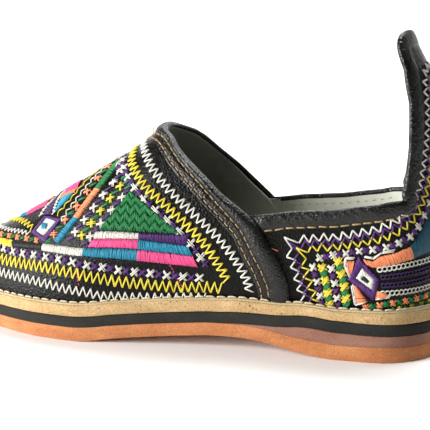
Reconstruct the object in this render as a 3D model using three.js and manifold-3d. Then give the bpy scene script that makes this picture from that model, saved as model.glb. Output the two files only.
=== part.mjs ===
// Left babouche slipper with a tall heel tab: embroidered leather upper on a
// layered sole. Millimetres, +Z up, toe towards -X, outer side of the foot
// towards -Y, origin on the floor under the middle of the sole.

import * as THREE from 'three';
import { mergeVertices } from 'three/addons/utils/BufferGeometryUtils.js';
import Module from 'manifold-3d';

const wasm = await Module();
wasm.setup();

// Driving sizes
const soleLength = 270;
const ballWidth = 90;
const instepRise = 87;
const toplineRise = 51.5;
const tabRise = 130.5;
const tabLean = 24;
const archRise = 7;
const toeSpring = 7;
const outsoleThickness = 7.2;
const wedgeHeight = 5.3;
const blackMidsoleThickness = 5.3;
const randThickness = 6;
const insoleThickness = 3;
const vampWall = 2.2;
const quarterWall = 2.4;
const ledge = 3;
const quarterTuck = 1.4;
const bandWidth = 13.8;
const bindingWidth = 5.5;
const overlayThickness = 1.1;
const gap = 0.3;
const overlayGap = 0.4;
const toeSetback = 14.5;

// Sole outline: along is the share of the sole's length from the heel's back
// to the toe, across is the share of the ball width, outer side negative
const outlineRows = [
  { along: 0.000, across: 0.000 },
  { along: 0.024, across: -0.183 },
  { along: 0.059, across: -0.288 },
  { along: 0.102, across: -0.353 },
  { along: 0.180, across: -0.376 },
  { along: 0.291, across: -0.384 },
  { along: 0.402, across: -0.398 },
  { along: 0.513, across: -0.436 },
  { along: 0.606, across: -0.478 },
  { along: 0.676, across: -0.500 },
  { along: 0.754, across: -0.480 },
  { along: 0.802, across: -0.441 },
  { along: 0.857, across: -0.378 },
  { along: 0.920, across: -0.298 },
  { along: 0.972, across: -0.180 },
  { along: 1.000, across: 0.033 },
  { along: 0.980, across: 0.225 },
  { along: 0.924, across: 0.362 },
  { along: 0.854, across: 0.444 },
  { along: 0.754, across: 0.498 },
  { along: 0.643, across: 0.483 },
  { along: 0.513, across: 0.417 },
  { along: 0.402, across: 0.372 },
  { along: 0.291, across: 0.356 },
  { along: 0.180, across: 0.356 },
  { along: 0.087, across: 0.320 },
  { along: 0.031, across: 0.206 },
];

// Sole from the side: arch and spring are shares of the arch rise and the toe
// spring, outsole and wedge are shares of those layers' thickness
const soleRows = [
  { along: -0.020, arch: 0.00, spring: 0.00, outsole: 1.08, wedge: 1.00 },
  { along: 0.120, arch: 0.00, spring: 0.00, outsole: 1.08, wedge: 0.97 },
  { along: 0.190, arch: 0.00, spring: 0.00, outsole: 1.06, wedge: 0.75 },
  { along: 0.225, arch: 0.14, spring: 0.00, outsole: 1.04, wedge: 0.62 },
  { along: 0.275, arch: 0.45, spring: 0.00, outsole: 1.00, wedge: 0.42 },
  { along: 0.330, arch: 0.88, spring: 0.00, outsole: 0.94, wedge: 0.20 },
  { along: 0.375, arch: 1.00, spring: 0.00, outsole: 0.92, wedge: 0.04 },
  { along: 0.410, arch: 1.00, spring: 0.00, outsole: 0.92, wedge: 0.00 },
  { along: 0.460, arch: 0.88, spring: 0.00, outsole: 0.92, wedge: 0.00 },
  { along: 0.555, arch: 0.55, spring: 0.00, outsole: 0.94, wedge: 0.00 },
  { along: 0.605, arch: 0.33, spring: 0.00, outsole: 0.96, wedge: 0.00 },
  { along: 0.640, arch: 0.12, spring: 0.00, outsole: 0.98, wedge: 0.00 },
  { along: 0.680, arch: 0.00, spring: 0.00, outsole: 1.00, wedge: 0.00 },
  { along: 0.850, arch: 0.00, spring: 0.00, outsole: 0.93, wedge: 0.00 },
  { along: 0.930, arch: 0.00, spring: 0.30, outsole: 0.88, wedge: 0.00 },
  { along: 1.020, arch: 0.00, spring: 1.05, outsole: 0.80, wedge: 0.00 },
];
const wedgeFront = 0.375;

// Sections of the vamp: ridge is the share of the instep rise, fullness is the
// power of the section's curve, and the bellies are shares of the half width
const vampRows = [
  { along: 0.24, ridge: 0.99, fullness: 2.30, outerBelly: 0.120, innerBelly: 0.180 },
  { along: 0.40, ridge: 1.00, fullness: 2.30, outerBelly: 0.120, innerBelly: 0.180 },
  { along: 0.53, ridge: 0.99, fullness: 2.20, outerBelly: 0.090, innerBelly: 0.120 },
  { along: 0.59, ridge: 0.88, fullness: 2.15, outerBelly: 0.060, innerBelly: 0.070 },
  { along: 0.68, ridge: 0.74, fullness: 2.10, outerBelly: 0.020, innerBelly: 0.020 },
  { along: 0.77, ridge: 0.57, fullness: 2.15, outerBelly: 0.000, innerBelly: 0.000 },
  { along: 0.87, ridge: 0.405, fullness: 2.25, outerBelly: 0.000, innerBelly: 0.000 },
  { along: 0.935, ridge: 0.29, fullness: 2.35, outerBelly: 0.000, innerBelly: 0.000 },
  { along: 1.00, ridge: 0.22, fullness: 2.40, outerBelly: 0.000, innerBelly: 0.000 },
];

// Rear edge of the vamp from the side, from its peak down to the rand
const vampEdgeRows = [
  { along: 0.531, rise: 0.990 },
  { along: 0.496, rise: 0.925 },
  { along: 0.454, rise: 0.790 },
  { along: 0.414, rise: 0.672 },
  { along: 0.372, rise: 0.540 },
  { along: 0.342, rise: 0.447 },
  { along: 0.322, rise: 0.352 },
  { along: 0.296, rise: 0.222 },
  { along: 0.281, rise: 0.103 },
  { along: 0.278, rise: 0.000 },
];

// Top edge of the quarter from the side, forward to back
const toplineRows = [
  { along: 0.450, rise: 0.760 },
  { along: 0.400, rise: 0.775 },
  { along: 0.340, rise: 0.800 },
  { along: 0.273, rise: 0.880 },
  { along: 0.200, rise: 0.932 },
  { along: 0.127, rise: 0.975 },
  { along: 0.106, rise: 1.000 },
];

// Front edge of the heel tab from the side, upwards
const tabEdgeRows = [
  { along: 0.088, rise: 0.418 },
  { along: 0.081, rise: 0.450 },
  { along: 0.079, rise: 0.490 },
  { along: 0.083, rise: 0.580 },
  { along: 0.089, rise: 0.740 },
  { along: 0.096, rise: 0.785 },
  { along: 0.104, rise: 0.835 },
  { along: 0.111, rise: 0.900 },
  { along: 0.116, rise: 0.960 },
  { along: 0.113, rise: 0.990 },
  { along: 0.108, rise: 1.000 },
];

// Back of the quarter and tab: lean is the share of the tab's forward lean
const backRows = [
  { rise: -0.10, lean: 0.000 },
  { rise: 0.000, lean: 0.000 },
  { rise: 0.115, lean: -0.050 },
  { rise: 0.268, lean: -0.040 },
  { rise: 0.420, lean: 0.020 },
  { rise: 0.575, lean: 0.090 },
  { rise: 0.690, lean: 0.170 },
  { rise: 0.766, lean: 0.270 },
  { rise: 0.843, lean: 0.420 },
  { rise: 0.904, lean: 0.650 },
  { rise: 0.943, lean: 0.800 },
  { rise: 0.973, lean: 0.910 },
  { rise: 1.000, lean: 0.990 },
  { rise: 1.060, lean: 1.160 },
];

// Counts that set how fine the solids are
const outlineSteps = 88;
const profileSteps = 40;
const vampStations = 22;
const vampSectionSteps = 22;
const quarterSteps = 18;
const farAway = 400;

// A smooth curve through one column of a table that never overshoots its rows
function columnCurve(rows, key, column) {
  const sorted = [...rows].sort((a, b) => a[key] - b[key]);
  const xs = sorted.map((row) => row[key]);
  const ys = sorted.map((row) => row[column]);
  const slopes = xs.slice(1).map((x, i) => (ys[i + 1] - ys[i]) / (x - xs[i]));
  const tangents = ys.map((y, i) => {
    if (i === 0) return slopes[0];
    if (i === ys.length - 1) return slopes[i - 1];
    if (slopes[i - 1] * slopes[i] <= 0) return 0;
    return 2 * slopes[i - 1] * slopes[i] / (slopes[i - 1] + slopes[i]);
  });
  return (x) => {
    if (x <= xs[0]) return ys[0];
    if (x >= xs[xs.length - 1]) return ys[ys.length - 1];
    let i = 0;
    while (x > xs[i + 1]) i += 1;
    const span = xs[i + 1] - xs[i];
    const t = (x - xs[i]) / span;
    const a = (1 + 2 * t) * (1 - t) ** 2;
    const b = t * (1 - t) ** 2;
    const c = t * t * (3 - 2 * t);
    const d = t * t * (t - 1);
    return a * ys[i] + b * span * tangents[i] + c * ys[i + 1] + d * span * tangents[i + 1];
  };
}

const mix = (a, b, t) => a + (b - a) * t;
const placeAlong = (share) => soleLength / 2 - share * soleLength;
const shareAt = (x) => 0.5 - x / soleLength;

// Heights of the layers' surfaces at a place along the sole
const archCurve = columnCurve(soleRows, 'along', 'arch');
const springCurve = columnCurve(soleRows, 'along', 'spring');
const outsoleCurve = columnCurve(soleRows, 'along', 'outsole');
const wedgeCurve = columnCurve(soleRows, 'along', 'wedge');

const outsoleBottom = (s) => archRise * archCurve(s) + toeSpring * springCurve(s);
const outsoleTop = (s) => outsoleBottom(s) + outsoleThickness * outsoleCurve(s);
const wedgeBottom = (s) => outsoleTop(s) + gap;
const wedgeTop = (s) => wedgeBottom(s) + wedgeHeight * wedgeCurve(s);
const wedgeStep = columnCurve([
  { along: wedgeFront, step: 1 },
  { along: wedgeFront + 0.03, step: 0 },
], 'along', 'step');
const blackBottom = (s) => wedgeTop(s) + gap * wedgeStep(s);
const blackTop = (s) => blackBottom(s) + blackMidsoleThickness;
const randBottom = (s) => blackTop(s) + gap;
const randTop = (s) => randBottom(s) + randThickness;
const bed = (x) => randTop(shareAt(x));

// The places along the sole where every layer's side view has a corner
const sideEnd = 1.02;
const sideShares = [];
for (let i = 0; i <= profileSteps; i += 1) sideShares.push(mix(1 - sideEnd, sideEnd, i / profileSteps));

// The sole's outline, drawn in by a distance, as one loop and as its two sides
const outlineCurve = new THREE.CatmullRomCurve3(
  outlineRows.map((row) => new THREE.Vector3(placeAlong(row.along), row.across * ballWidth, 0)),
  true, 'centripetal');

function outlineLoop(inset) {
  const points = outlineCurve.getSpacedPoints(outlineSteps).slice(0, outlineSteps);
  return points.map((p, i) => {
    const before = points[(i + outlineSteps - 1) % outlineSteps];
    const after = points[(i + 1) % outlineSteps];
    const run = new THREE.Vector2(after.x - before.x, after.y - before.y).normalize();
    return new THREE.Vector2(p.x + run.y * inset, p.y - run.x * inset);
  });
}

function outlineSides(inset) {
  const loop = outlineLoop(inset);
  const xs = loop.map((p) => p.x);
  const heel = xs.indexOf(Math.max(...xs));
  const toe = xs.indexOf(Math.min(...xs));
  const walk = (from, to) => {
    const side = [];
    for (let i = from; i !== to; i = (i + 1) % loop.length) side.push(loop[i]);
    side.push(loop[to]);
    return side;
  };
  const acrossAt = (side) => (x) => {
    const i = side.findIndex((p, j) => j > 0 && (side[j - 1].x - x) * (p.x - x) <= 0);
    const a = side[i - 1];
    const b = side[i];
    return mix(a.y, b.y, (x - a.x) / (b.x - a.x || 1));
  };
  return {
    heelX: loop[heel].x,
    toeX: loop[toe].x,
    outer: acrossAt(walk(heel, toe)),
    inner: acrossAt(walk(toe, heel).reverse()),
  };
}

// Solids from closed meshes, and back
function solidOf(geometry) {
  const bare = geometry.clone();
  bare.deleteAttribute('normal');
  bare.deleteAttribute('uv');
  const merged = mergeVertices(bare, 1e-5);
  return new wasm.Manifold(new wasm.Mesh({
    numProp: 3,
    vertProperties: new Float32Array(merged.attributes.position.array),
    triVerts: new Uint32Array(merged.index.array),
  }));
}

function geometryOf(solid) {
  const mesh = solid.getMesh();
  const geometry = new THREE.BufferGeometry();
  geometry.setAttribute('position', new THREE.BufferAttribute(mesh.vertProperties, 3));
  geometry.setIndex(new THREE.BufferAttribute(mesh.triVerts, 1));
  geometry.computeVertexNormals();
  return geometry;
}

// A closed body through rings of points, whose ends are closed by a ladder
// between each ring's first half and its second half
function loft(rings) {
  const count = rings[0].length;
  const index = [];
  const quad = (a, b, c, d) => index.push(a, b, c, a, c, d);
  for (let k = 0; k + 1 < rings.length; k += 1) {
    for (let j = 0; j < count; j += 1) {
      const next = (j + 1) % count;
      quad(k * count + j, k * count + next, (k + 1) * count + next, (k + 1) * count + j);
    }
  }
  for (const [k, turned] of [[0, true], [rings.length - 1, false]]) {
    for (let j = 0; j < count / 2 - 1; j += 1) {
      const near = k * count + j;
      const far = k * count + count - 1 - j;
      if (turned) quad(near, far, far - 1, near + 1);
      else quad(near, near + 1, far - 1, far);
    }
  }
  const geometry = new THREE.BufferGeometry();
  const values = new Float32Array(rings.flat().flatMap((p) => [p.x, p.y, p.z]));
  geometry.setAttribute('position', new THREE.BufferAttribute(values, 3));
  geometry.setIndex(index);
  const solid = solidOf(geometry);
  if (solid.volume() > 0) return solid;
  geometry.setIndex([...index].reverse());
  return solidOf(geometry);
}

// A flat shape seen from the side, carried across the whole shoe
function sidePrism(points) {
  const shape = new THREE.Shape(points);
  const geometry = new THREE.ExtrudeGeometry(shape, { depth: farAway, bevelEnabled: false });
  geometry.rotateX(Math.PI / 2);
  geometry.translate(0, farAway / 2, 0);
  return solidOf(geometry);
}

// A flat shape seen from above, carried up through the whole shoe
function planPrism(points) {
  const geometry = new THREE.ExtrudeGeometry(new THREE.Shape(points),
    { depth: farAway, bevelEnabled: false });
  geometry.translate(0, 0, -farAway / 2);
  return solidOf(geometry);
}

// One layer between two heights that follow the sole's length
function layer(lower, upper, inset, front = sideEnd) {
  const loop = outlineLoop(inset);
  const shares = [...sideShares.filter((s) => s < front), front];
  const under = shares.map((s) => new THREE.Vector2(placeAlong(s), lower(s)));
  const over = shares.map((s) => new THREE.Vector2(placeAlong(s), upper(s))).reverse();
  return sidePrism([...under, ...over]).intersect(planPrism(loop));
}

// The vamp's form, grown outwards or inwards by a distance
const ridgeCurve = columnCurve(vampRows, 'along', 'ridge');
const fullnessCurve = columnCurve(vampRows, 'along', 'fullness');
const outerBellyCurve = columnCurve(vampRows, 'along', 'outerBelly');
const innerBellyCurve = columnCurve(vampRows, 'along', 'innerBelly');
const ridgeShift = 0.4;
const skirtDepth = 12;
const toeCurveLength = 45;
const heelCurveLength = 30;
const endStep = 0.15;
const crowding = 1.8;
const vampRear = placeAlong(0.25);

function sectionReach(height, fullness, belly) {
  const reach = Math.max(0, 1 - height ** fullness) ** (1 / fullness);
  return reach + belly * 4 * height * (1 - height);
}

function vampForm(growth, rearExtra = 0) {
  const sides = outlineSides(ledge - growth);
  const tip = outlineSides(ledge).toeX + endStep;
  const grownTip = sides.toeX + endStep;
  const sections = [];
  for (let k = 0; k <= vampStations; k += 1) {
    const place = mix(tip, vampRear, (k / vampStations) ** crowding);
    const toeShare = Math.max(0, 1 - (place - tip) / toeCurveLength);
    const x = place + (grownTip - tip) * toeShare + (k === vampStations ? rearExtra : 0);
    const ridgeX = x + toeSetback * toeShare ** 2;
    const s = shareAt(ridgeX);
    const outerY = sides.outer(x);
    const innerY = sides.inner(x);
    const ridgeY = (outerY + innerY) * ridgeShift;
    const base = bed(x);
    const ridgeZ = bed(ridgeX) + instepRise * ridgeCurve(s) + growth;
    const power = 2 / fullnessCurve(s);
    const section = [new THREE.Vector3(x, outerY, base - skirtDepth)];
    for (let j = 0; j <= vampSectionSteps; j += 1) {
      const angle = Math.PI * j / vampSectionSteps;
      const height = Math.sin(angle) ** power;
      const outerSide = j < vampSectionSteps / 2;
      const belly = outerSide ? outerBellyCurve(s) : innerBellyCurve(s);
      const reach = sectionReach(Math.min(1, height), fullnessCurve(s), belly);
      const baseY = outerSide ? outerY : innerY;
      section.push(new THREE.Vector3(
        mix(ridgeX, x, reach),
        mix(ridgeY, baseY, reach),
        mix(base, ridgeZ, height)));
    }
    section.push(new THREE.Vector3(x, innerY, base - skirtDepth));
    sections.push(section);
  }
  return loft(sections);
}

// The quarter and heel tab's form, grown by a distance
const leanCurve = columnCurve(backRows, 'rise', 'lean');
const quarterFront = placeAlong(0.455);
const blendStart = placeAlong(0.37);
const blendEnd = placeAlong(0.20);
const leanStart = placeAlong(0.29);
const leanEnd = placeAlong(0.105);
const smooth = (x, from, to) => THREE.MathUtils.smoothstep(x, from, to);

function quarterForm(growth, frontExtra = 0) {
  const sides = outlineSides(ledge + quarterTuck - growth);
  const back = outlineSides(ledge + quarterTuck).heelX - endStep;
  const grownBack = sides.heelX - endStep;
  const xs = [];
  for (let i = 0; i <= quarterSteps; i += 1) {
    const place = mix(quarterFront, back, 1 - (1 - i / quarterSteps) ** crowding);
    const heelShare = Math.max(0, 1 - (back - place) / heelCurveLength);
    xs.push(place + (grownBack - back) * heelShare - (i === 0 ? frontExtra : 0));
  }
  const rises = backRows.map((row) => row.rise * tabRise);
  const level = (rise) => {
    const point = (x, side) => {
      const s = shareAt(x);
      const outerSide = side === 'outer';
      const baseY = sides[side](x);
      const ridgeY = (sides.outer(x) + sides.inner(x)) * ridgeShift;
      const height = THREE.MathUtils.clamp(rise / (instepRise * ridgeCurve(s)), 0, 0.7);
      const belly = outerSide ? outerBellyCurve(s) : innerBellyCurve(s);
      const curved = sectionReach(height, fullnessCurve(s), belly);
      const reach = mix(curved, 1, smooth(x, blendStart, blendEnd));
      const lean = tabLean * leanCurve(rise / tabRise) * smooth(x, leanStart, leanEnd);
      return new THREE.Vector3(x - lean, mix(ridgeY, baseY, reach), bed(x) + rise);
    };
    const outer = xs.map((x) => point(x, 'outer'));
    const inner = xs.map((x) => point(x, 'inner')).reverse();
    return [...outer, ...inner];
  };
  return loft(rises.map(level));
}

// Side views of the edges
function edgeLine(rows, rise) {
  return rows.map((row) => {
    const x = placeAlong(row.along);
    return new THREE.Vector2(x, bed(x) + row.rise * rise);
  });
}

function smoothLine(points, steps) {
  return new THREE.SplineCurve(points).getPoints(steps);
}

// A line moved sideways by a distance, to its left when it is positive
function besideLine(points, distance) {
  return points.map((p, i) => {
    const before = points[Math.max(0, i - 1)];
    const after = points[Math.min(points.length - 1, i + 1)];
    const run = new THREE.Vector2().subVectors(after, before).normalize();
    return new THREE.Vector2(p.x - run.y * distance, p.y + run.x * distance);
  });
}

const vampEdge = smoothLine(edgeLine(vampEdgeRows, instepRise), 20);
const collarEdge = [
  ...smoothLine(edgeLine(toplineRows, toplineRise), 12),
  ...smoothLine(edgeLine(tabEdgeRows, tabRise), 24),
];
const over = farAway * 0.45;

// Everything behind and above a line that follows the vamp's rear edge
function behindVamp(line) {
  const top = line[0];
  const bottom = line[line.length - 1];
  return sidePrism([
    new THREE.Vector2(top.x - 6, over),
    ...line,
    new THREE.Vector2(bottom.x, -over),
    new THREE.Vector2(over * 1.5, -over),
    new THREE.Vector2(over * 1.5, over),
  ]);
}

// Everything above and in front of a line that follows the collar
function aboveCollar(line) {
  const front = line[0];
  const tip = line[line.length - 1];
  return sidePrism([
    new THREE.Vector2(-over * 1.5, front.y),
    ...line,
    new THREE.Vector2(over, tip.y),
    new THREE.Vector2(over, over * 1.5),
    new THREE.Vector2(-over * 1.5, over * 1.5),
  ]);
}

// Everything above the rand, clear of it by a distance
function aboveBed(clearance) {
  return sidePrism([
    ...sideShares.map((s) => new THREE.Vector2(placeAlong(s), randTop(s) + clearance)),
    new THREE.Vector2(-over * 1.5, over * 1.5),
    new THREE.Vector2(over * 1.5, over * 1.5),
  ]);
}

// Upper: the vamp laps over the front ends of the quarter, sewn into one
const overBed = aboveBed(gap);
const vampOuter = vampForm(0);
const vampShell = vampOuter
  .subtract(vampForm(-vampWall, 2))
  .subtract(behindVamp(vampEdge));
const quarterOuter = quarterForm(0);
const quarterShell = quarterOuter
  .subtract(quarterForm(-quarterWall, 2))
  .subtract(aboveCollar(collarEdge));
const upper = vampShell.add(quarterShell).intersect(overBed);

// Band round the vamp's rear edge
const bandFront = besideLine(vampEdge, -bandWidth);
const vampBand = vampForm(overlayGap + overlayThickness)
  .subtract(vampForm(overlayGap, 2))
  .subtract(behindVamp(vampEdge))
  .intersect(behindVamp(bandFront))
  .intersect(aboveBed(gap * 2));

// Binding along the quarter's top edge and round the tab
const bindingTop = collarEdge[collarEdge.length - 1].y - bindingWidth;
const bindingLower = besideLine(collarEdge, -bindingWidth).filter((p) => p.y < bindingTop);
bindingLower.push(new THREE.Vector2(bindingLower[bindingLower.length - 1].x, bindingTop));
const quarterBinding = quarterForm(overlayGap + overlayThickness)
  .subtract(quarterForm(overlayGap, 2))
  .subtract(aboveCollar(collarEdge))
  .intersect(aboveCollar(bindingLower))
  .intersect(behindVamp(besideLine(vampEdge, gap)));

// Sole layers and insole
const outsole = layer(outsoleBottom, outsoleTop, 0.2);
const heelWedge = layer(wedgeBottom, wedgeTop, 0.4, wedgeFront);
const blackMidsole = layer(blackBottom, blackTop, 0.4);
const rand = layer(randBottom, randTop, 0);
const insoleInset = ledge + quarterTuck + quarterWall + 2 * gap;
const insole = layer((s) => randTop(s) + gap, (s) => randTop(s) + gap + insoleThickness, insoleInset);

// Colours and finishes
const finish = (color, roughness) => new THREE.MeshStandardMaterial({ color, roughness, metalness: 0 });
const blackLeather = finish(0x1b1a1a, 0.45);
const bandLeather = finish(0x232222, 0.38);
const greyLining = finish(0x8f8d88, 0.7);
const orangeRubber = finish(0xb8683f, 0.75);
const mauveRubber = finish(0x6a4238, 0.8);
const charcoalFoam = finish(0x2a2a2c, 0.85);
const sandFoam = finish(0xc79a62, 0.85);

const slipper = new THREE.Group();
const pieces = [
  ['outsole', outsole, orangeRubber],
  ['heel_wedge', heelWedge, mauveRubber],
  ['black_midsole', blackMidsole, charcoalFoam],
  ['tan_rand', rand, sandFoam],
  ['insole', insole, greyLining],
  ['upper', upper, blackLeather],
  ['vamp_band', vampBand, bandLeather],
  ['quarter_binding', quarterBinding, bandLeather],
];
for (const [name, solid, material] of pieces) {
  const mesh = new THREE.Mesh(geometryOf(solid), material);
  mesh.name = name;
  slipper.add(mesh);
}

export default slipper;
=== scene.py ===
import math

import bmesh
import bpy
import numpy as np
from mathutils import Matrix, Vector


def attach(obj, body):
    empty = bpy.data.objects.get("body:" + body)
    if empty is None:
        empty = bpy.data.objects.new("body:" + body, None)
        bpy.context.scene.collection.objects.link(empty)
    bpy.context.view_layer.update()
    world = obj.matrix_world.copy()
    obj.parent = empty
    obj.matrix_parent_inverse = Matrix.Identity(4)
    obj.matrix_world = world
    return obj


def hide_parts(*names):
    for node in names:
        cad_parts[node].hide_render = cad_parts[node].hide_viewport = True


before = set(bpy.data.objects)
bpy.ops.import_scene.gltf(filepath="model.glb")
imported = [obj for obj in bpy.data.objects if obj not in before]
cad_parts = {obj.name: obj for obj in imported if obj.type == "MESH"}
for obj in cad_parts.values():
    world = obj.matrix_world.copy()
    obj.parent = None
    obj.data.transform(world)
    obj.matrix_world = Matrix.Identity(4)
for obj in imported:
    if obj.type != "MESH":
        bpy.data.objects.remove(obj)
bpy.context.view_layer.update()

# Outsole
# The walking sole is a sheet of orange crepe rubber, thinner under the waist and turned up a little at the
# toe. It is cut round the last and cemented under the layers above, so its trimmed edge shows all round.
MM = 0.001
sole_length = 270.0
ball_width = 90.0
arch_rise = 7.0
toe_spring = 7.0
outsole_thickness = 7.2
slab_points = 300
bend_places = np.arange(-132, 133, 4.0)


def table(columns, *rows):
    """Rows of numbers under named columns."""
    return [dict(zip(columns.split(), row)) for row in rows]


outline_rows = table(
    "along across",
    (0.000, 0.000), (0.024, -0.183), (0.059, -0.288), (0.102, -0.353), (0.180, -0.376),
    (0.291, -0.384), (0.402, -0.398), (0.513, -0.436), (0.606, -0.478), (0.676, -0.500),
    (0.754, -0.480), (0.802, -0.441), (0.857, -0.378), (0.920, -0.298), (0.972, -0.180),
    (1.000, 0.033), (0.980, 0.225), (0.924, 0.362), (0.854, 0.444), (0.754, 0.498),
    (0.643, 0.483), (0.513, 0.417), (0.402, 0.372), (0.291, 0.356), (0.180, 0.356),
    (0.087, 0.320), (0.031, 0.206),
)
side_rows = table(
    "along arch spring outsole wedge rand sunk",
    (-0.020, 0.00, 0.00, 1.08, 1.00, 0.97, 0.0),
    (0.100, 0.00, 0.00, 1.07, 1.00, 0.94, 0.0),
    (0.150, 0.00, 0.00, 1.05, 1.06, 0.88, 0.2),
    (0.190, 0.00, 0.00, 1.05, 1.12, 0.81, 0.8),
    (0.225, 0.14, 0.00, 1.03, 1.15, 0.80, 1.6),
    (0.250, 0.28, 0.00, 1.00, 1.06, 0.83, 1.8),
    (0.275, 0.45, 0.00, 0.98, 0.76, 0.86, 0.9),
    (0.300, 0.66, 0.00, 0.96, 0.44, 0.90, 0.2),
    (0.330, 0.88, 0.00, 0.94, 0.20, 0.95, 0.0),
    (0.375, 1.00, 0.00, 0.92, 0.04, 1.00, 0.0),
    (0.410, 1.00, 0.00, 0.92, 0.00, 1.00, 0.0),
    (0.460, 0.88, 0.00, 0.92, 0.00, 1.00, 0.0),
    (0.555, 0.55, 0.00, 0.94, 0.00, 1.00, 0.0),
    (0.605, 0.33, 0.00, 0.96, 0.00, 1.00, 0.0),
    (0.640, 0.12, 0.00, 0.98, 0.00, 1.00, 0.0),
    (0.680, 0.00, 0.00, 1.00, 0.00, 1.00, 0.0),
    (0.850, 0.00, 0.00, 0.93, 0.00, 1.00, 0.0),
    (0.930, 0.00, 0.30, 0.88, 0.00, 1.00, 0.0),
    (1.020, 0.00, 1.05, 0.80, 0.00, 1.00, 0.0),
)


def column_curve(rows, key, column):
    """A smooth curve through one column of a table that never overshoots its rows."""
    ordered = sorted(rows, key=lambda row: row[key])
    keys = np.array([row[key] for row in ordered], float)
    values = np.array([row[column] for row in ordered], float)
    slopes = np.diff(values) / np.diff(keys)
    before, after = slopes[:-1], slopes[1:]
    same_way = before * after > 0
    middle = np.where(same_way, 2 * before * after / np.where(same_way, before + after, 1), 0)
    tangents = np.concatenate([slopes[:1], middle, slopes[-1:]])

    def value(at):
        at = np.clip(np.asarray(at, float), keys[0], keys[-1])
        i = np.clip(np.searchsorted(keys, at, side="right") - 1, 0, len(keys) - 2)
        span = keys[i + 1] - keys[i]
        t = (at - keys[i]) / span
        start = (1 + 2 * t) * (1 - t) ** 2 * values[i] + t * (1 - t) ** 2 * span * tangents[i]
        end = t * t * (3 - 2 * t) * values[i + 1] + t * t * (t - 1) * span * tangents[i + 1]
        return start + end

    return value


def place_at(share):
    """Where a share of the sole's length from the heel lies along the shoe."""
    return sole_length / 2 - np.asarray(share) * sole_length


def share_at(place):
    return 0.5 - np.asarray(place) / sole_length


def ease(value, start, end):
    """A soft step from 0 to 1."""
    t = np.clip((np.asarray(value, float) - start) / (end - start), 0, 1)
    return t * t * (3 - 2 * t)


def run_along(line):
    """The distance along a line at each of its points."""
    return np.concatenate([[0], np.cumsum(np.linalg.norm(np.diff(line, axis=0), axis=1))])


def unit(vectors):
    """Each vector at a length of 1."""
    return vectors / (np.linalg.norm(vectors, axis=-1)[..., None] + 1e-9)


def outline_loop(inset, count=1440):
    """The last's outline as a closed loop of even steps, moved inwards."""
    corners = np.array([(float(place_at(row["along"])), row["across"] * ball_width) for row in outline_rows])
    pieces = []
    for i in range(len(corners)):
        p0, p1, p2, p3 = (corners[(i + k) % len(corners)] for k in (-1, 0, 1, 2))
        d0, d1, d2 = (np.linalg.norm(b - a) ** 0.5 for a, b in ((p0, p1), (p1, p2), (p2, p3)))
        t1 = ((p1 - p0) / d0 - (p2 - p0) / (d0 + d1) + (p2 - p1) / d1) * d1
        t2 = ((p2 - p1) / d1 - (p3 - p1) / (d1 + d2) + (p3 - p2) / d2) * d1
        t = np.linspace(0, 1, 90, endpoint=False)[:, None]
        pieces.append(p1 * (2 * t**3 - 3 * t**2 + 1) + t1 * (t**3 - 2 * t**2 + t)
                      + p2 * (3 * t**2 - 2 * t**3) + t2 * (t**3 - t**2))
    line = np.concatenate(pieces)
    closed = np.vstack([line, line[:1]])
    reach = run_along(closed)
    even = np.linspace(0, reach[-1], count, endpoint=False)
    loop = np.column_stack([np.interp(even, reach, closed[:, k]) for k in (0, 1)])
    run = unit(np.roll(loop, -1, axis=0) - np.roll(loop, 1, axis=0))
    return loop + inset * np.column_stack([run[:, 1], -run[:, 0]])


arch_curve = column_curve(side_rows, "along", "arch")
spring_curve = column_curve(side_rows, "along", "spring")
outsole_curve = column_curve(side_rows, "along", "outsole")


def outsole_bottom(place):
    share = share_at(place)
    return arch_rise * arch_curve(share) + toe_spring * spring_curve(share)


def outsole_top(place):
    return outsole_bottom(place) + outsole_thickness * outsole_curve(share_at(place))


def cut_across(bm, place, **clearing):
    """Cuts a layer across at a place along the shoe."""
    everything = bm.verts[:] + bm.edges[:] + bm.faces[:]
    bmesh.ops.bisect_plane(bm, geom=everything, plane_co=(place, 0, 0), plane_no=(1, 0, 0), **clearing)


def close_ends(bm):
    bmesh.ops.holes_fill(bm, edges=[edge for edge in bm.edges if edge.is_boundary])


def sole_slab(inset, bottom, top, rounding, front=None, hole=None):
    """One layer of the sole: cut from a flat sheet, its rims rounded, then bent to its side view."""
    flat = 4.0
    bm = bmesh.new()
    for loop_inset in [inset] + ([hole] if hole else []):
        made = bmesh.ops.create_circle(bm, cap_ends=hole is None, segments=slab_points, radius=1)
        for vert, (x, y) in zip(made["verts"], outline_loop(loop_inset, slab_points)):
            vert.co = (x, y, 0)
    if hole:
        bmesh.ops.bridge_loops(bm, edges=bm.edges[:])
    raised = bmesh.ops.extrude_face_region(bm, geom=bm.faces[:])
    upper_face = [part for part in raised["geom"] if isinstance(part, bmesh.types.BMVert)]
    bmesh.ops.translate(bm, vec=(0, 0, flat), verts=upper_face)
    rims = [edge for edge in bm.edges if edge.calc_face_angle(0) > 1]
    bmesh.ops.bevel(bm, geom=rims, offset=rounding, affect="EDGES", segments=3, profile=0.5, material=-1)
    if front is not None:
        cut_across(bm, front, clear_inner=True)
        close_ends(bm)
    for place in bend_places:
        cut_across(bm, place)
    for vert in bm.verts:
        x, z = vert.co.x, vert.co.z
        low, high = float(bottom(x)), float(top(x))
        rim = min(1, (high - low) / flat)
        vert.co.z = low + z * rim if z < flat / 2 else high - (flat - z) * rim
    bmesh.ops.recalc_face_normals(bm, faces=bm.faces)
    return bm


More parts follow.
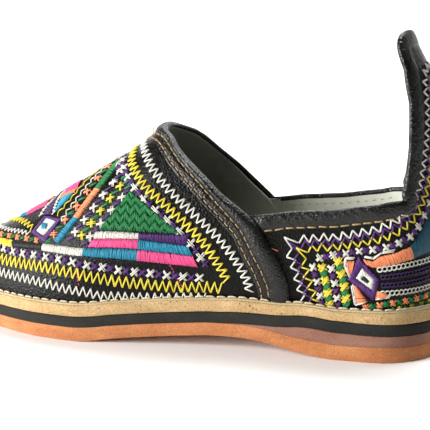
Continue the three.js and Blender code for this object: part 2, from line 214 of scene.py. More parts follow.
def made_piece(name, bm, finish, node=None, sharp=40):
    """Turns a bmesh in millimetres into a piece of the shoe; edges past sharp degrees stay crisp."""
    bmesh.ops.scale(bm, vec=(MM, MM, MM), verts=bm.verts)
    mesh = bpy.data.meshes.new(name)
    bm.to_mesh(mesh)
    bm.free()
    mesh.shade_smooth()
    mesh.set_sharp_from_angle(angle=math.radians(sharp))
    mesh.materials.append(finish)
    piece = bpy.data.objects.new(name, mesh)
    bpy.context.scene.collection.objects.link(piece)
    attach(piece, "root")
    if node:
        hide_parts(node)
    return piece


def paint(code):
    """A colour written as six hex digits, as the shader wants it."""
    parts = [int(code[i:i + 2], 16) / 255 for i in (0, 2, 4)]
    return [c / 12.92 if c < 0.04045 else ((c + 0.055) / 1.055) ** 2.4 for c in parts] + [1.0]


def new_finish(name, colour, roughness):
    """A new material and its shader, which starts with one colour and one roughness."""
    finish = bpy.data.materials.new(name)
    finish.use_nodes = True
    shader = finish.node_tree.nodes["Principled BSDF"]
    shader.inputs["Base Color"].default_value = paint(colour)
    shader.inputs["Roughness"].default_value = roughness
    return finish, shader


def add(finish, kind, sockets, **settings):
    """Adds a node; a socket's value may be a number, a colour or another node's output."""
    node = finish.node_tree.nodes.new(kind)
    for setting, value in settings.items():
        setattr(node, setting, value)
    for socket, value in sockets.items():
        if isinstance(value, bpy.types.NodeSocket):
            finish.node_tree.links.new(value, node.inputs[socket])
        else:
            node.inputs[socket].default_value = value
    return node


def link(finish, output, socket):
    finish.node_tree.links.new(output, socket)


def own_place(finish):
    return add(finish, "ShaderNodeTexCoord", {}).outputs["Object"]


def noise(finish, scale, detail=4.0, stretch=(1, 1, 1)):
    """Noise of so many features to the metre, stretched along the shoe's own axes."""
    mapping = add(finish, "ShaderNodeMapping", {"Vector": own_place(finish), "Scale": stretch})
    sockets = {"Vector": mapping.outputs[0], "Scale": scale, "Detail": detail, "Roughness": 0.6}
    return add(finish, "ShaderNodeTexNoise", sockets).outputs["Fac"]


def spots(finish, scale):
    """The distance to the nearest of many scattered points."""
    sockets = {"Vector": own_place(finish), "Scale": scale}
    return add(finish, "ShaderNodeTexVoronoi", sockets).outputs["Distance"]


def ramp(finish, value, stops):
    """A colour ramp from a list of positions and colours."""
    node = add(finish, "ShaderNodeValToRGB", {"Fac": value})
    while len(node.color_ramp.elements) < len(stops):
        node.color_ramp.elements.new(0.5)
    for element, (position, colour) in zip(node.color_ramp.elements, stops):
        element.position = position
        element.color = paint(colour) if isinstance(colour, str) else (colour, colour, colour, 1)
    return node.outputs["Color"]


def blend(finish, share, first, second, how="MIX"):
    """Mixes two colours, each a code or an output."""
    first, second = (paint(colour) if isinstance(colour, str) else colour for colour in (first, second))
    sockets = {"Factor": share, 6: first, 7: second}
    return add(finish, "ShaderNodeMix", sockets, data_type="RGBA", blend_type=how).outputs[2]


def roughen(finish, shader, height, distance, strength, below=None):
    """Bumps the surface by a height output; distance is in millimetres."""
    sockets = {"Height": height, "Distance": distance * MM, "Strength": strength}
    if below is not None:
        sockets["Normal"] = below
    bump = add(finish, "ShaderNodeBump", sockets)
    link(finish, bump.outputs[0], shader.inputs["Normal"])
    return bump.outputs[0]


def rubber_finish(name, base, pale, dark, roughness, speck_scale, grain):
    """Trimmed rubber or foam: a fine sandy grain, small dark pits, mottled and buffed lighter in places."""
    finish, shader = new_finish(name, base, roughness)
    shader.inputs["Specular IOR Level"].default_value = 0.3
    mottle = ramp(finish, noise(finish, 70, 6, (1, 1, 2.5)), [(0.38, 0.0), (0.66, 1.0)])
    colour = blend(finish, mottle, base, pale)
    fine = ramp(finish, noise(finish, 1700, 3), [(0.32, 1 - grain), (0.68, 1.0)])
    colour = blend(finish, 1.0, colour, fine, how="MULTIPLY")
    specks = ramp(finish, spots(finish, speck_scale), [(0.10, 1.0), (0.24, 0.0)])
    patches = ramp(finish, noise(finish, 240, 3), [(0.50, 0.0), (0.58, 0.9)])
    shown = blend(finish, patches, "000000", specks)
    colour = blend(finish, shown, colour, dark)
    link(finish, colour, shader.inputs["Base Color"])
    pits = roughen(finish, shader, noise(finish, 1100, 5), 0.16, 0.9)
    roughen(finish, shader, noise(finish, 120, 3, (1, 1, 3)), 0.35, 0.6, below=pits)
    return finish


orange_crepe = rubber_finish("orange_crepe", "ba7446", "cc8856", "7c4426", 0.8, 560, 0.42)
outsole_bm = sole_slab(0.2, outsole_bottom, outsole_top, 0.35)
made_piece("outsole_crepe", outsole_bm, orange_crepe, "outsole")

# Heel wedge
# A mauve-brown rubber wedge lies on the outsole under the heel and runs out to nothing below the waist.
# It is skived to its taper and cemented between the outsole and the black layer.
wedge_height = 5.3
wedge_front = 0.375
cement = 0.06
wedge_curve = column_curve(side_rows, "along", "wedge")


def wedge_bottom(place):
    return outsole_top(place) + cement


def wedge_top(place):
    return wedge_bottom(place) + wedge_height * wedge_curve(share_at(place))


mauve_crepe = rubber_finish("mauve_crepe", "8c6150", "98705e", "573527", 0.85, 700, 0.3)
wedge_bm = sole_slab(0.25, wedge_bottom, wedge_top, 0.12, front=float(place_at(wedge_front)))
made_piece("heel_wedge_crepe", wedge_bm, mauve_crepe, "heel_wedge")

# Black midsole
# A sheet of charcoal foam follows the wedge and the outsole from heel to toe.
# Its cut edge is fine and matt, with a few lighter scuffs.
black_thickness = 5.3
layer_gap = 0.3
gap_closes_over = 0.03


def black_bottom(place):
    """It lies a hair above the wedge, and straight on the outsole in front of it."""
    over_wedge = ease(wedge_front + gap_closes_over - share_at(place), 0, gap_closes_over)
    return wedge_top(place) + layer_gap * over_wedge


def black_top(place):
    return black_bottom(place) + black_thickness


charcoal_foam = rubber_finish("charcoal_foam", "24231f", "2c2b27", "121210", 0.9, 900, 0.5)
black_bm = sole_slab(0.3, black_bottom, black_top, 0.2)
made_piece("black_midsole_foam", black_bm, charcoal_foam, "black_midsole")

# Tan rand
# The sandy layer on top carries the upper and stands out round it as a narrow ledge, where the welt is sewn.
# It is pressed cork and foam, so its edge is speckled with dark grains.
rand_thickness = 6.0
rand_curve = column_curve(side_rows, "along", "rand")
sunk_curve = column_curve(side_rows, "along", "sunk")


def rand_bottom(place):
    return black_top(place) + layer_gap


def bed(place):
    return rand_bottom(place) + rand_thickness * rand_curve(share_at(place))


def upper_foot(place):
    """The height from which the upper's rises are measured; it sits a little in the rand before the heel."""
    return bed(place) - sunk_curve(share_at(place))


tan_cork = rubber_finish("tan_cork", "c3a06e", "d2b180", "4a331d", 0.88, 420, 0.55)
rand_bm = sole_slab(0.0, rand_bottom, bed, 0.8)
made_piece("tan_rand_cork", rand_bm, tan_cork, "tan_rand")

# Welt
# A thin strip of pale leather lies on the rand's ledge against the foot of the upper, all round.
# It is cemented down and sewn through with thick pale thread.
ledge = 3.0
welt_thickness = 0.9
welt_inset = 0.7
welt_tuck = 0.9


def welt_top(place):
    return bed(place) + welt_thickness


pale_welt = rubber_finish("pale_welt_leather", "b5a17b", "c2af8a", "5a4830", 0.8, 600, 0.35)
welt_bm = sole_slab(welt_inset, bed, welt_top, 0.3, hole=ledge + welt_tuck)
made_piece("welt_leather", welt_bm, pale_welt)

# Insole
# The footbed is thin grey-white leather over foam, laid on the rand inside the upper.
# Its colour is painted darker towards the toe as shade under the vamp, like the linings.
insole_inset = 8.0
insole_thickness = 3.0


def insole_bottom(place):
    return bed(place) + layer_gap


def insole_top(place):
    return insole_bottom(place) + insole_thickness


def leather_finish(name, deep, worn, roughness, grain, gloss, wax=1.5):
    """Leather with a fine pebbled grain, finer creases and paler worn patches; wax is its own shine."""
    finish, shader = new_finish(name, deep, roughness)
    wear = ramp(finish, noise(finish, 60, 5), [(0.45, 0.0), (0.75, 1.0)])
    link(finish, blend(finish, wear, deep, worn), shader.inputs["Base Color"])
    sheen = [(0.3, max(0.05, roughness - 0.10)), (0.7, roughness + 0.12)]
    link(finish, ramp(finish, noise(finish, 160, 4), sheen), shader.inputs["Roughness"])
    shader.inputs["Specular IOR Level"].default_value = gloss
    shader.inputs["IOR"].default_value = wax
    pebbles = roughen(finish, shader, spots(finish, 1000), 0.30 * grain, 0.8)
    wrinkles = roughen(finish, shader, noise(finish, 620, 6), 0.55 * grain, 0.8, below=pebbles)
    roughen(finish, shader, noise(finish, 80, 3), 0.7 * grain, 0.6, below=wrinkles)
    return finish


def painted_shade_forward(finish, dark_place, light_place, painted_shade_share):
    """Painted shade towards the toe, as under the vamp: the colour falls to a share of itself between two
    places.
    """
    shader = finish.node_tree.nodes["Principled BSDF"]
    colour = shader.inputs["Base Color"].links[0].from_socket
    along = add(finish, "ShaderNodeSeparateXYZ", {0: own_place(finish)}).outputs[0]
    limits = {"Value": along, "From Min": dark_place * MM, "From Max": light_place * MM, "To Min": painted_shade_share}
    shade = add(finish, "ShaderNodeMapRange", limits, interpolation_type="SMOOTHSTEP").outputs[0]
    link(finish, blend(finish, 1.0, colour, shade, how="MULTIPLY"), shader.inputs["Base Color"])


grey_lining = leather_finish("grey_lining_leather", "bcbdb1", "cccdc2", 0.6, 0.6, 0.3)
# Painted shade: the linings and the insole darken towards the toe, where the vamp shades the inside of the
# shoe.
painted_shade_forward(grey_lining, 10.0, 78.0, 0.30)
insole_bm = sole_slab(insole_inset, insole_bottom, insole_top, 0.8)
made_piece("insole_leather", insole_bm, grey_lining, "insole")

# Vamp
# One piece of black leather is drawn over the last from toe to instep and cut away behind, in a curve from
# the instep down to the sole. Its foot is turned in and held between the rand and the insole.
instep_rise = 87.0
toe_setback = 14.5
toe_curve = 45.0
ridge_shift = 0.4
leather_thickness = 1.2
vamp_rows = table(
    "along ridge fullness outer inner",
    (0.240, 0.990, 2.30, 0.120, 0.180),
    (0.400, 1.000, 2.30, 0.120, 0.180),
    (0.530, 0.990, 2.20, 0.090, 0.120),
    (0.590, 0.880, 2.15, 0.060, 0.070),
    (0.680, 0.740, 2.10, 0.020, 0.020),
    (0.770, 0.570, 2.15, 0.000, 0.000),
    (0.870, 0.405, 2.25, 0.000, 0.000),
    (0.935, 0.290, 2.35, 0.000, 0.000),
    (1.000, 0.220, 2.40, 0.000, 0.000),
)
vamp_edge_rows = table(
    "along rise",
    (0.560, 1.200), (0.531, 0.990), (0.496, 0.925), (0.454, 0.790), (0.414, 0.672),
    (0.372, 0.540), (0.342, 0.447), (0.322, 0.352), (0.296, 0.222), (0.281, 0.103),
    (0.278, 0.000),
)
ridge_curve = column_curve(vamp_rows, "along", "ridge")
fullness_curve = column_curve(vamp_rows, "along", "fullness")
outer_belly_curve = column_curve(vamp_rows, "along", "outer")
inner_belly_curve = column_curve(vamp_rows, "along", "inner")
vamp_edge_curve = column_curve(vamp_edge_rows, "rise", "along")


def outline_sides(inset):
    """The outline's outer and inner sides, each from the toe to the heel."""
    loop = outline_loop(inset)
    heel = int(np.argmax(loop[:, 0]))
    toe = int(np.argmin(loop[:, 0]))
    around = np.roll(loop, -heel, axis=0)
    split = (toe - heel) % len(loop)
    return around[:split + 1][::-1], np.vstack([around[split:], around[:1]])


def section_reach(height, fullness, belly):
    """How far from the ridge's line to the foot's line a section stands out at a share of its height."""
    return np.maximum(0, 1 - height**fullness) ** (1 / fullness) + belly * 4 * height * (1 - height)


vamp_outer, vamp_inner = outline_sides(ledge)
toe_place = vamp_outer[0, 0]


def vamp_form(place, turn):
    """A point of the vamp: turn is 0 at the outer foot, 1 on the ridge and 2 at the inner foot."""
    toe_share = np.maximum(0, 1 - (place - toe_place) / toe_curve)
    ridge_x = place + toe_setback * toe_share**2
    share = share_at(ridge_x)
    outer_y = np.interp(place, vamp_outer[:, 0], vamp_outer[:, 1])
    inner_y = np.interp(place, vamp_inner[:, 0], vamp_inner[:, 1])
    ridge_y = (outer_y + inner_y) * ridge_shift
    fullness = fullness_curve(share)
    height = np.clip(np.sin(turn * math.pi / 2), 0, 1) ** (2 / fullness)
    outside = turn < 1
    belly = np.where(outside, outer_belly_curve(share), inner_belly_curve(share))
    reach = section_reach(height, fullness, belly)
    base_y = np.where(outside, outer_y, inner_y)
    foot = upper_foot(place)
    top = upper_foot(ridge_x) + instep_rise * ridge_curve(share)
    return np.stack([ridge_x + (place - ridge_x) * reach, ridge_y + (base_y - ridge_y) * reach,
                     foot + (top - foot) * height], axis=-1)


def looked_up(table, row, column):
    """A table's value between its rows and columns."""
    row = np.clip(row, 0, table.shape[0] - 1.001)
    column = np.clip(column, 0, table.shape[1] - 1.001)
    i, j = row.astype(int), column.astype(int)
    a, b = row - i, column - j
    upper = table[i, j] * (1 - b) + table[i, j + 1] * b
    lower = table[i + 1, j] * (1 - b) + table[i + 1, j + 1] * b
    return upper * (1 - a) + lower * a


vamp_back_place = 72.0
place_steps = 300
girth_steps = 120
vamp_places = toe_place + (vamp_back_place - toe_place) * np.linspace(0, 1, place_steps + 1)**2
half_turns = np.linspace(0, 1, 241)
vamp_turns = np.zeros((len(vamp_places), 2 * girth_steps + 1))
outer_girths = np.zeros(len(vamp_places))
inner_girths = np.zeros(len(vamp_places))
for i, place in enumerate(vamp_places):
    for half in (0, 1):
        line = vamp_form(np.full_like(half_turns, place), half_turns + half)
        run = run_along(line)
        even = np.interp(np.linspace(0, run[-1], girth_steps + 1), run, half_turns + half)
        vamp_turns[i, half * girth_steps:(half + 1) * girth_steps + 1] = even
        (inner_girths if half else outer_girths)[i] = run[-1]


def vamp_by_share(place, share):
    """A point of the vamp by its place and its share of the girth, 0 to 1 outside and 1 to 2 inside."""
    row = np.sqrt(np.clip((place - toe_place) / (vamp_back_place - toe_place), 0, 1)) * place_steps
    return vamp_form(np.maximum(place, toe_place), looked_up(vamp_turns, row, share * girth_steps))


def outer_girth(place):
    return np.interp(place, vamp_places, outer_girths)


def inner_girth(place):
    return np.interp(place, vamp_places, inner_girths)


def girth_at(place, share):
    """The distance up the leather at a share of its girth, 0 to 1 outside and 1 to 2 inside."""
    outer, inner = outer_girth(place), inner_girth(place)
    return np.where(share <= 1, share * outer, outer + (share - 1) * inner)


def vamp(place, girth):
    """A point of the vamp by its place along the shoe and its distance up the leather from the outer foot."""
    place, girth = np.broadcast_arrays(np.asarray(place, float), np.asarray(girth, float))
    half = outer_girth(place)
    share = np.where(girth <= half, girth / half, 1 + (girth - half) / inner_girth(place))
    return vamp_by_share(place, np.clip(share, 0, 2))


def slopes_of(surface, a, b):
    """A surface's two slopes and its outward normal, at points given in its own two measures."""
    step = 0.25
    along = (surface(a + step, b) - surface(a - step, b)) / (2 * step)
    across = (surface(a, b + step) - surface(a, b - step)) / (2 * step)
    return along, across, unit(np.cross(along, across))


outer_cut_rows = table(
    "share depth",
    (0.36, 0.0), (0.44, 1.6), (0.52, 3.3), (0.66, 3.7), (0.76, 4.4), (0.86, 3.4), (0.94, 1.2), (1.00, 0.2),
)
cut_shares = [row["share"] for row in outer_cut_rows]
cut_depths = [row["depth"] for row in outer_cut_rows]


def outer_cut(share):
    """How much deeper the rear edge is cut on the outer side, from the topline to the ridge."""
    return np.interp(share, cut_shares, cut_depths)


def found_between(low, high, beyond):
    """Halves a span again and again, down to the point past which beyond holds."""
    for _ in range(40):
        middle = (low + high) / 2
        past = beyond(middle)
        high = np.where(past, middle, high)
        low = np.where(past, low, middle)
    return (low + high) / 2


def vamp_rear_place(share):
    """Where the rear edge, which runs at about 45 degrees, crosses a line of constant girth share."""
    def behind(place):
        point = vamp_by_share(place, share)
        rise = (point[..., 2] - upper_foot(point[..., 0])) / instep_rise
        return point[..., 0] > place_at(vamp_edge_curve(rise))

    uncut = found_between(np.full_like(share, -40.0), np.full_like(share, 70.0), behind)
    return uncut - math.sqrt(2) * outer_cut(share)


def laid_grid(columns, rows, place_points):
    """A flat grid laid onto a surface; place_points takes each point's two shares, from 0 to 1."""
    bm = bmesh.new()
    bmesh.ops.create_grid(bm, x_segments=columns, y_segments=rows, size=0.5)
    flat = np.array([vert.co for vert in bm.verts])
    points = place_points(flat[:, 0] + 0.5, flat[:, 1] + 0.5)
    for vert, point in zip(bm.verts, points):
        vert.co = point
    bmesh.ops.remove_doubles(bm, verts=bm.verts, dist=0.02)
    return bm


def leather_sheet(name, bm, finish, thickness, node=None):
    """A piece of sheet leather, with its thickness on the inner side."""
    piece = made_piece(name, bm, finish, node, sharp=80)
    wall = piece.modifiers.new("thickness", "SOLIDIFY")
    wall.thickness = thickness * MM
    wall.offset = -1
    wall.use_rim = True


def vamp_points(u, v, depth=None):
    """Points from the toe to the rear edge, as far inside the leather's face as depth says."""
    share = np.clip(v, 0, 1) * 2
    place = toe_place + (vamp_rear_place(share) - toe_place) * u**1.4
    girth = girth_at(place, share)
    points = vamp(place, girth)
    if depth:
        nose = np.maximum(place, toe_place + 0.5)
        total = outer_girth(nose) + inner_girth(nose)
        normal = slopes_of(vamp, nose, np.clip(girth_at(nose, share), 0.3, total - 0.3))[2]
        points = points - normal * depth(place, girth)[:, None]
    return points


black_leather = leather_finish("black_leather", "0a0a08", "12110f", 0.26, 0.9, 0.30, 1.3)
vamp_bm = laid_grid(150, 190, vamp_points)
leather_sheet("vamp_leather", vamp_bm, black_leather, leather_thickness, "upper")

# Vamp lining
# Thin grey-white leather lines the vamp and laps over the front ends of the quarter inside the shoe.
# It is brought up to the rear edge and caught by the rolled collar.
vamp_lining_thickness = 0.8
vamp_lining_gap = 0.4
lap_depth = 2.3


def vamp_lining_depth(place, girth):
    """Flat to the vamp in front, and inside the quarter's front ends where it laps them."""
    rise = np.minimum(girth, outer_girth(place) + inner_girth(place) - girth)
    lap = ease(place, -14, 14) * (1 - ease(rise, 48, 70))
    return leather_thickness + vamp_lining_gap + lap_depth * lap


lining_bm = laid_grid(110, 140, lambda u, v: vamp_points(u * 0.996, v, vamp_lining_depth))
leather_sheet("vamp_lining", lining_bm, grey_lining, vamp_lining_thickness)

# Quarter and heel tab
# A second piece of black leather wraps the heel from one side of the vamp to the other. At the back it is cut
# up into a tall tongue, the heel tab, which leans forward at its tip and is used to pull the shoe on.
topline_rise = 51.5
tab_rise = 130.5
tab_lean = 24.0
quarter_tuck = 1.4
quarter_front = 115.2
tab_root = 28.8
column_step = 1.6
upright_from, upright_at = 0.37, 0.20
lean_from, lean_at = 0.29, 0.105
topline_rows = table(
    "along rise",
    (0.520, 0.750), (0.450, 0.760), (0.400, 0.775), (0.340, 0.800), (0.273, 0.880),
    (0.200, 0.932), (0.127, 0.975), (0.106, 1.000), (0.060, 1.020),
)
tab_edge_rows = table(
    "rise along",
    (0.405, 0.0960), (0.418, 0.0880), (0.450, 0.0810), (0.490, 0.0790), (0.580, 0.0770),
    (0.740, 0.0800), (0.785, 0.0850), (0.835, 0.0900), (0.900, 0.0940),
)
back_rows = table(
    "rise lean",
    (-0.100, 0.000), (0.000, 0.000), (0.115, -0.050), (0.268, -0.040), (0.420, 0.020),
    (0.575, 0.090), (0.690, 0.170), (0.766, 0.240), (0.843, 0.345), (0.904, 0.510),
    (0.943, 0.630), (0.973, 0.720), (1.000, 0.790), (1.060, 0.930),
)
lean_curve = column_curve(back_rows, "rise", "lean")
topline_curve = column_curve(topline_rows, "along", "rise")
tab_edge_curve = column_curve(tab_edge_rows, "rise", "along")
quarter_outer, quarter_inner = outline_sides(ledge + quarter_tuck)
back_place = quarter_outer[-1, 0]


def quarter_form(root, rise):
    """A point of the quarter. Its foot lies root squared forward of the heel's back, on root's own side."""
    place = back_place - root**2
    share = share_at(place)
    outer_y = np.interp(place, quarter_outer[:, 0], quarter_outer[:, 1])
    inner_y = np.interp(place, quarter_inner[:, 0], quarter_inner[:, 1])
    ridge_y = (outer_y + inner_y) * ridge_shift
    base_y = np.where(root < 0, outer_y, inner_y)
    belly = np.where(root < 0, outer_belly_curve(share), inner_belly_curve(share))
    height = np.clip(rise / (instep_rise * ridge_curve(share)), 0, 0.7)
    curved = section_reach(height, fullness_curve(share), belly)
    reach = curved + (1 - curved) * ease(-share, -upright_from, -upright_at)
    lean = tab_lean * lean_curve(rise / tab_rise) * ease(-share, -lean_from, -lean_at)
    across = ridge_y + (base_y - ridge_y) * reach
    return np.stack([place - lean, across, upper_foot(place) + rise], axis=-1)


lowest_rise, highest_rise = -4, 134
arc_limit = 136
arcs_per_mm = 2
quarter_rises = np.linspace(lowest_rise, highest_rise, 139)
quarter_arcs = np.linspace(-arc_limit, arc_limit, 2 * arc_limit * arcs_per_mm + 1)
root_samples = np.linspace(-11.2, 11.2, 1121)
quarter_roots = np.zeros((len(quarter_rises), len(quarter_arcs)))
for i, rise in enumerate(quarter_rises):
    run = run_along(quarter_form(root_samples, np.full_like(root_samples, rise)))
    quarter_roots[i] = np.interp(quarter_arcs, run - run[len(run) // 2], root_samples)


def quarter(arc, rise):
    """A point of the quarter by its distance round from the back seam, less than 0 outside, and its rise."""
    arc, rise = np.broadcast_arrays(np.asarray(arc, float), np.asarray(rise, float))
    root = looked_up(quarter_roots, rise - lowest_rise, (arc + arc_limit) * arcs_per_mm)
    return quarter_form(root, rise)


def arc_of_place(place, rise, side):
    """The distance round from the back seam at which the quarter has a place, at a rise."""
    def at_or_past(arc):
        return quarter(side * arc, rise)[..., 0] <= place

    return found_between(np.zeros_like(rise), np.full_like(rise, 134.0), at_or_past)


def topline_at(arc):
    """The topline's rise at a distance round from the back seam."""
    rise = np.full_like(arc, topline_rise * 0.9)
    for _ in range(6):
        rise = topline_rise * topline_curve(share_at(quarter(arc, rise)[..., 0]))
    return rise


tab_shoulder = 113.0
tip_taper = 0.10
side_rises = np.linspace(51.0, tab_shoulder, 40)
side_places = place_at(tab_edge_curve(side_rises / tab_rise))
outer_half_widths = arc_of_place(side_places, side_rises, -1)
inner_half_widths = arc_of_place(side_places, side_rises, 1)


def tab_half_width(rise, side):
    widths = np.where(side < 0, np.interp(rise, side_rises, outer_half_widths),
                      np.interp(rise, side_rises, inner_half_widths))
    return widths - tip_taper * np.clip(rise - tab_shoulder, 0, 30)


def tab_top(lateral):
    """The tab's rounded tip: its rise at a share of its half width."""
    return tab_shoulder + (tab_rise - tab_shoulder) * (1 - np.abs(lateral)**2.8) ** (1 / 2.8)


root_rises = topline_at(np.array([-tab_root, tab_root]))
main_rows, tab_rows = 36, 52


def quarter_points(u, v, depth):
    """Points of the flat pattern, from its foot up to the topline and, over the tab's root, to the tip."""
    rows = v * (main_rows + tab_rows)
    base_arc = (u * 2 - 1) * quarter_front
    lateral = np.clip(base_arc / tab_root, -1, 1)
    root_rise = root_rises[0] + (root_rises[1] - root_rises[0]) * (lateral + 1) / 2
    top = np.where(np.abs(base_arc) > tab_root, topline_at(base_arc), root_rise)
    low_share = np.clip(rows / main_rows, 0, 1)
    high_share = np.clip((rows - main_rows) / tab_rows, 0, 1)
    rise = top * low_share + (tab_top(lateral) - root_rise) * high_share
    squeezed = lateral * tab_half_width(rise, lateral)
    settle = ease(high_share, 0, 0.10)
    arc = np.where(rows > main_rows, base_arc + (squeezed - base_arc) * settle, base_arc)
    points = quarter(arc, rise)
    if depth:
        points = points - slopes_of(quarter, arc, rise)[2] * depth
    return points


def quarter_sheet(depth):
    """The quarter's flat pattern, a strip with a tongue, laid round the heel at a depth in the wall."""
    bm = bmesh.new()
    columns = int(2 * quarter_front / column_step)
    bmesh.ops.create_grid(bm, x_segments=columns, y_segments=main_rows + tab_rows, size=0.5)
    waste = []
    for face in bm.faces:
        middle = face.calc_center_median()
        beside_tab = abs(middle.x) * 2 * quarter_front > tab_root
        if beside_tab and middle.y + 0.5 > main_rows / (main_rows + tab_rows):
            waste.append(face)
    bmesh.ops.delete(bm, geom=waste, context="FACES")
    flat = np.array([vert.co for vert in bm.verts])
    for vert, point in zip(bm.verts, quarter_points(flat[:, 0] + 0.5, flat[:, 1] + 0.5, depth)):
        vert.co = point
    return bm


quarter_bm = quarter_sheet(0)
leather_sheet("quarter_leather", quarter_bm, black_leather, leather_thickness)

# Quarter lining
# Grey-white leather lines the quarter and the tab. It is cut to the same pattern, pasted to the back of the
# black leather and sewn in at the topline.
lining_thickness = 0.9
paste = 0.1
quarter_lining_bm = quarter_sheet(leather_thickness + paste)
leather_sheet("quarter_lining", quarter_lining_bm, grey_lining, lining_thickness)

# Collar band
# The vamp's rear edge is folded over a soft pad and rolled inwards, and two rows of thread hold the fold.
# It is the same black leather, glossier where hands pull on it.
band_profile = [
    (13.8, 0.02), (13.3, 0.16), (12.9, 0.18), (12.5, 0.12), (12.15, -0.02), (12.0, -0.05), (11.8, 0.0),
    (11.2, 0.24), (10.3, 0.34), (9.4, 0.26), (8.75, 0.02), (8.6, 0.0), (8.4, 0.10), (7.8, 0.65), (6.8, 1.15),
    (5.6, 1.50), (4.4, 1.66), (3.2, 1.66), (2.2, 1.56), (1.3, 1.38), (0.5, 1.10), (-0.3, 0.62), (-1.0, 0.0),
    (-1.35, -0.7), (-1.3, -1.3), (-0.9, -1.7), (-0.2, -1.8), (1.2, -1.6), (2.0, -1.3), (13.0, -0.5),
]


def in_own_measures(along, across, move):
    """A move over a surface, told in the surface's own two measures by its two slopes."""
    return np.einsum("nij,nj->ni", np.linalg.pinv(np.stack([along, across], axis=-1)), move)


def strip_points(surface, path, inward, profile, ripple, pinch):
    """A strip that follows an edge of a surface; path holds the edge in the surface's own two measures."""
    count = len(path)
    full_pinch_depth = 8
    edge = surface(path[:, 0], path[:, 1])
    run = unit(np.gradient(edge, axis=0))
    along, across, normal = slopes_of(surface, path[:, 0], path[:, 1])
    into = unit(np.cross(normal, run) * inward)
    turn = in_own_measures(along, across, into)
    points = np.zeros((count, len(profile), 3))
    for k, (depth, height) in enumerate(profile):
        lift = height + ripple(k, np.arange(count))
        if depth > 0:
            place = path + turn * (depth - pinch * min(depth / full_pinch_depth, 1))[:, None]
            points[:, k] = surface(place[:, 0], place[:, 1])
            points[:, k] += slopes_of(surface, place[:, 0], place[:, 1])[2] * lift[:, None]
        else:
            points[:, k] = edge + into * depth + normal * lift[:, None]
    return points


def strip(surface, path, inward, profile, ripple, pinch=0.0):
    """The strip as a closed form, with its ends capped; pinch is how much narrower it is along the path."""
    points = strip_points(surface, path, inward, profile, ripple, np.broadcast_to(pinch, len(path)))
    closed = np.concatenate([points, points[:, :1]], axis=1)
    stations, around = closed.shape[0] - 1, closed.shape[1] - 1

    def placed(u, v):
        return closed[np.rint(u * stations).astype(int), np.rint(v * around).astype(int)]

    bm = laid_grid(stations, around, placed)
    close_ends(bm)
    bmesh.ops.recalc_face_normals(bm, faces=bm.faces)
    return bm


def evenly(surface, path, step):
    """A path's points set out again at even steps over the surface."""
    path = np.asarray(path, float)
    points = surface(path[:, 0], path[:, 1])
    run = run_along(points)
    count = max(2, int(round(run[-1] / step)) + 1)
    even = np.linspace(0, run[-1], count)
    return np.column_stack([np.interp(even, run, path[:, k]) for k in (0, 1)])


def waves(seed, count, length, size):
    """A soft, irregular rise and fall along a strip."""
    chance = np.random.default_rng(seed)
    steps = np.arange(count)
    total = np.zeros(count)
    for octave in (1.0, 0.53, 0.27):
        total += octave * np.sin(steps / (length * octave) * 2 * math.pi + chance.uniform(0, 6.28))
    return total * size / 1.8


rear_shares = np.linspace(0, 2, 500)
rear_places = vamp_rear_place(rear_shares)
rear_edge = evenly(vamp, np.column_stack([rear_places, girth_at(rear_places, rear_shares)]), 0.9)
trim_leather = leather_finish("trim_leather", "0c0c0a", "181715", 0.28, 0.9, 0.60, 1.38)
narrowing = 1.7
band_share = rear_edge[:, 1] / outer_girth(rear_edge[:, 0])
on_outer_side = ease(band_share, 0.15, 0.45) * (1 - ease(band_share, 0.8, 1.0))
band_pinch = outer_cut(band_share) + narrowing * on_outer_side
band_ripple = waves(3, len(rear_edge), 26, 0.028)


def band_lift(k, stations):
    """The padded part of the band rises and falls a little."""
    return band_ripple[stations] * (0.3 < band_profile[k][1])


band_bm = strip(vamp, rear_edge, 1, band_profile, band_lift, band_pinch)
made_piece("vamp_band_leather", band_bm, trim_leather, "vamp_band", sharp=60)

# Quarter binding
# A narrow strip of the same leather is folded over the topline, up one edge of the tab, round its tip and
# down the other edge. It is pulled tight by one row of stitches, so it puckers.
binding_profile = [
    (7.7, 0.02), (7.4, 0.20), (7.15, 0.16), (6.95, 0.05), (6.75, 0.16), (6.3, 0.46), (5.4, 0.80), (4.2, 1.00),
    (3.0, 1.08), (2.0, 1.08), (1.2, 1.02), (0.5, 0.88), (-0.2, 0.52), (-0.7, 0.0), (-0.95, -0.7),
    (-0.9, -1.4), (-0.6, -2.0), (0.0, -2.35), (0.8, -2.45), (1.4, -2.35), (1.7, -2.0), (5.1, -0.5),
]
binding_front = 106.0
binding_turn = 30.0
tab_foot = 56.0


def collar_path():
    """The quarter's top edge from the outer front end, round the tab, to the inner front end."""
    front = np.arange(-binding_front, -binding_turn, 0.5)
    halves = []
    for side in (-1, 1):
        arcs = front if side < 0 else -front
        line = np.column_stack([arcs, topline_at(arcs)])
        rises = np.linspace(tab_foot, tab_shoulder - 2, 90)
        edge = np.column_stack([side * tab_half_width(rises, np.full_like(rises, side)), rises])
        lateral = np.sin(np.linspace(math.pi / 2, 0, 60))**0.8
        tops = tab_top(lateral)
        tip = np.column_stack([side * lateral * tab_half_width(tops, np.full_like(tops, side)), tops])
        halves.append(np.vstack([line, edge, tip]))
    path = np.vstack([halves[0], halves[1][:-1][::-1]])
    path = evenly(quarter, path, 0.4)
    reach = 6
    kernel = np.hanning(2 * reach + 1)
    kernel /= kernel.sum()
    padded = np.vstack([np.repeat(path[:1], reach, axis=0), path, np.repeat(path[-1:], reach, axis=0)])
    smooth = np.column_stack([np.convolve(padded[:, k], kernel, mode="valid") for k in (0, 1)])
    return evenly(quarter, smooth, 0.9)


collar_edge = collar_path()
pucker = waves(11, len(collar_edge), 4.6, 0.20) + waves(12, len(collar_edge), 15, 0.10)
on_tab = ease(collar_edge[:, 1], 54, 62)
from_start = np.arange(len(collar_edge))
at_ends = 1 - ease(np.minimum(from_start, from_start[::-1]), 0, 9)


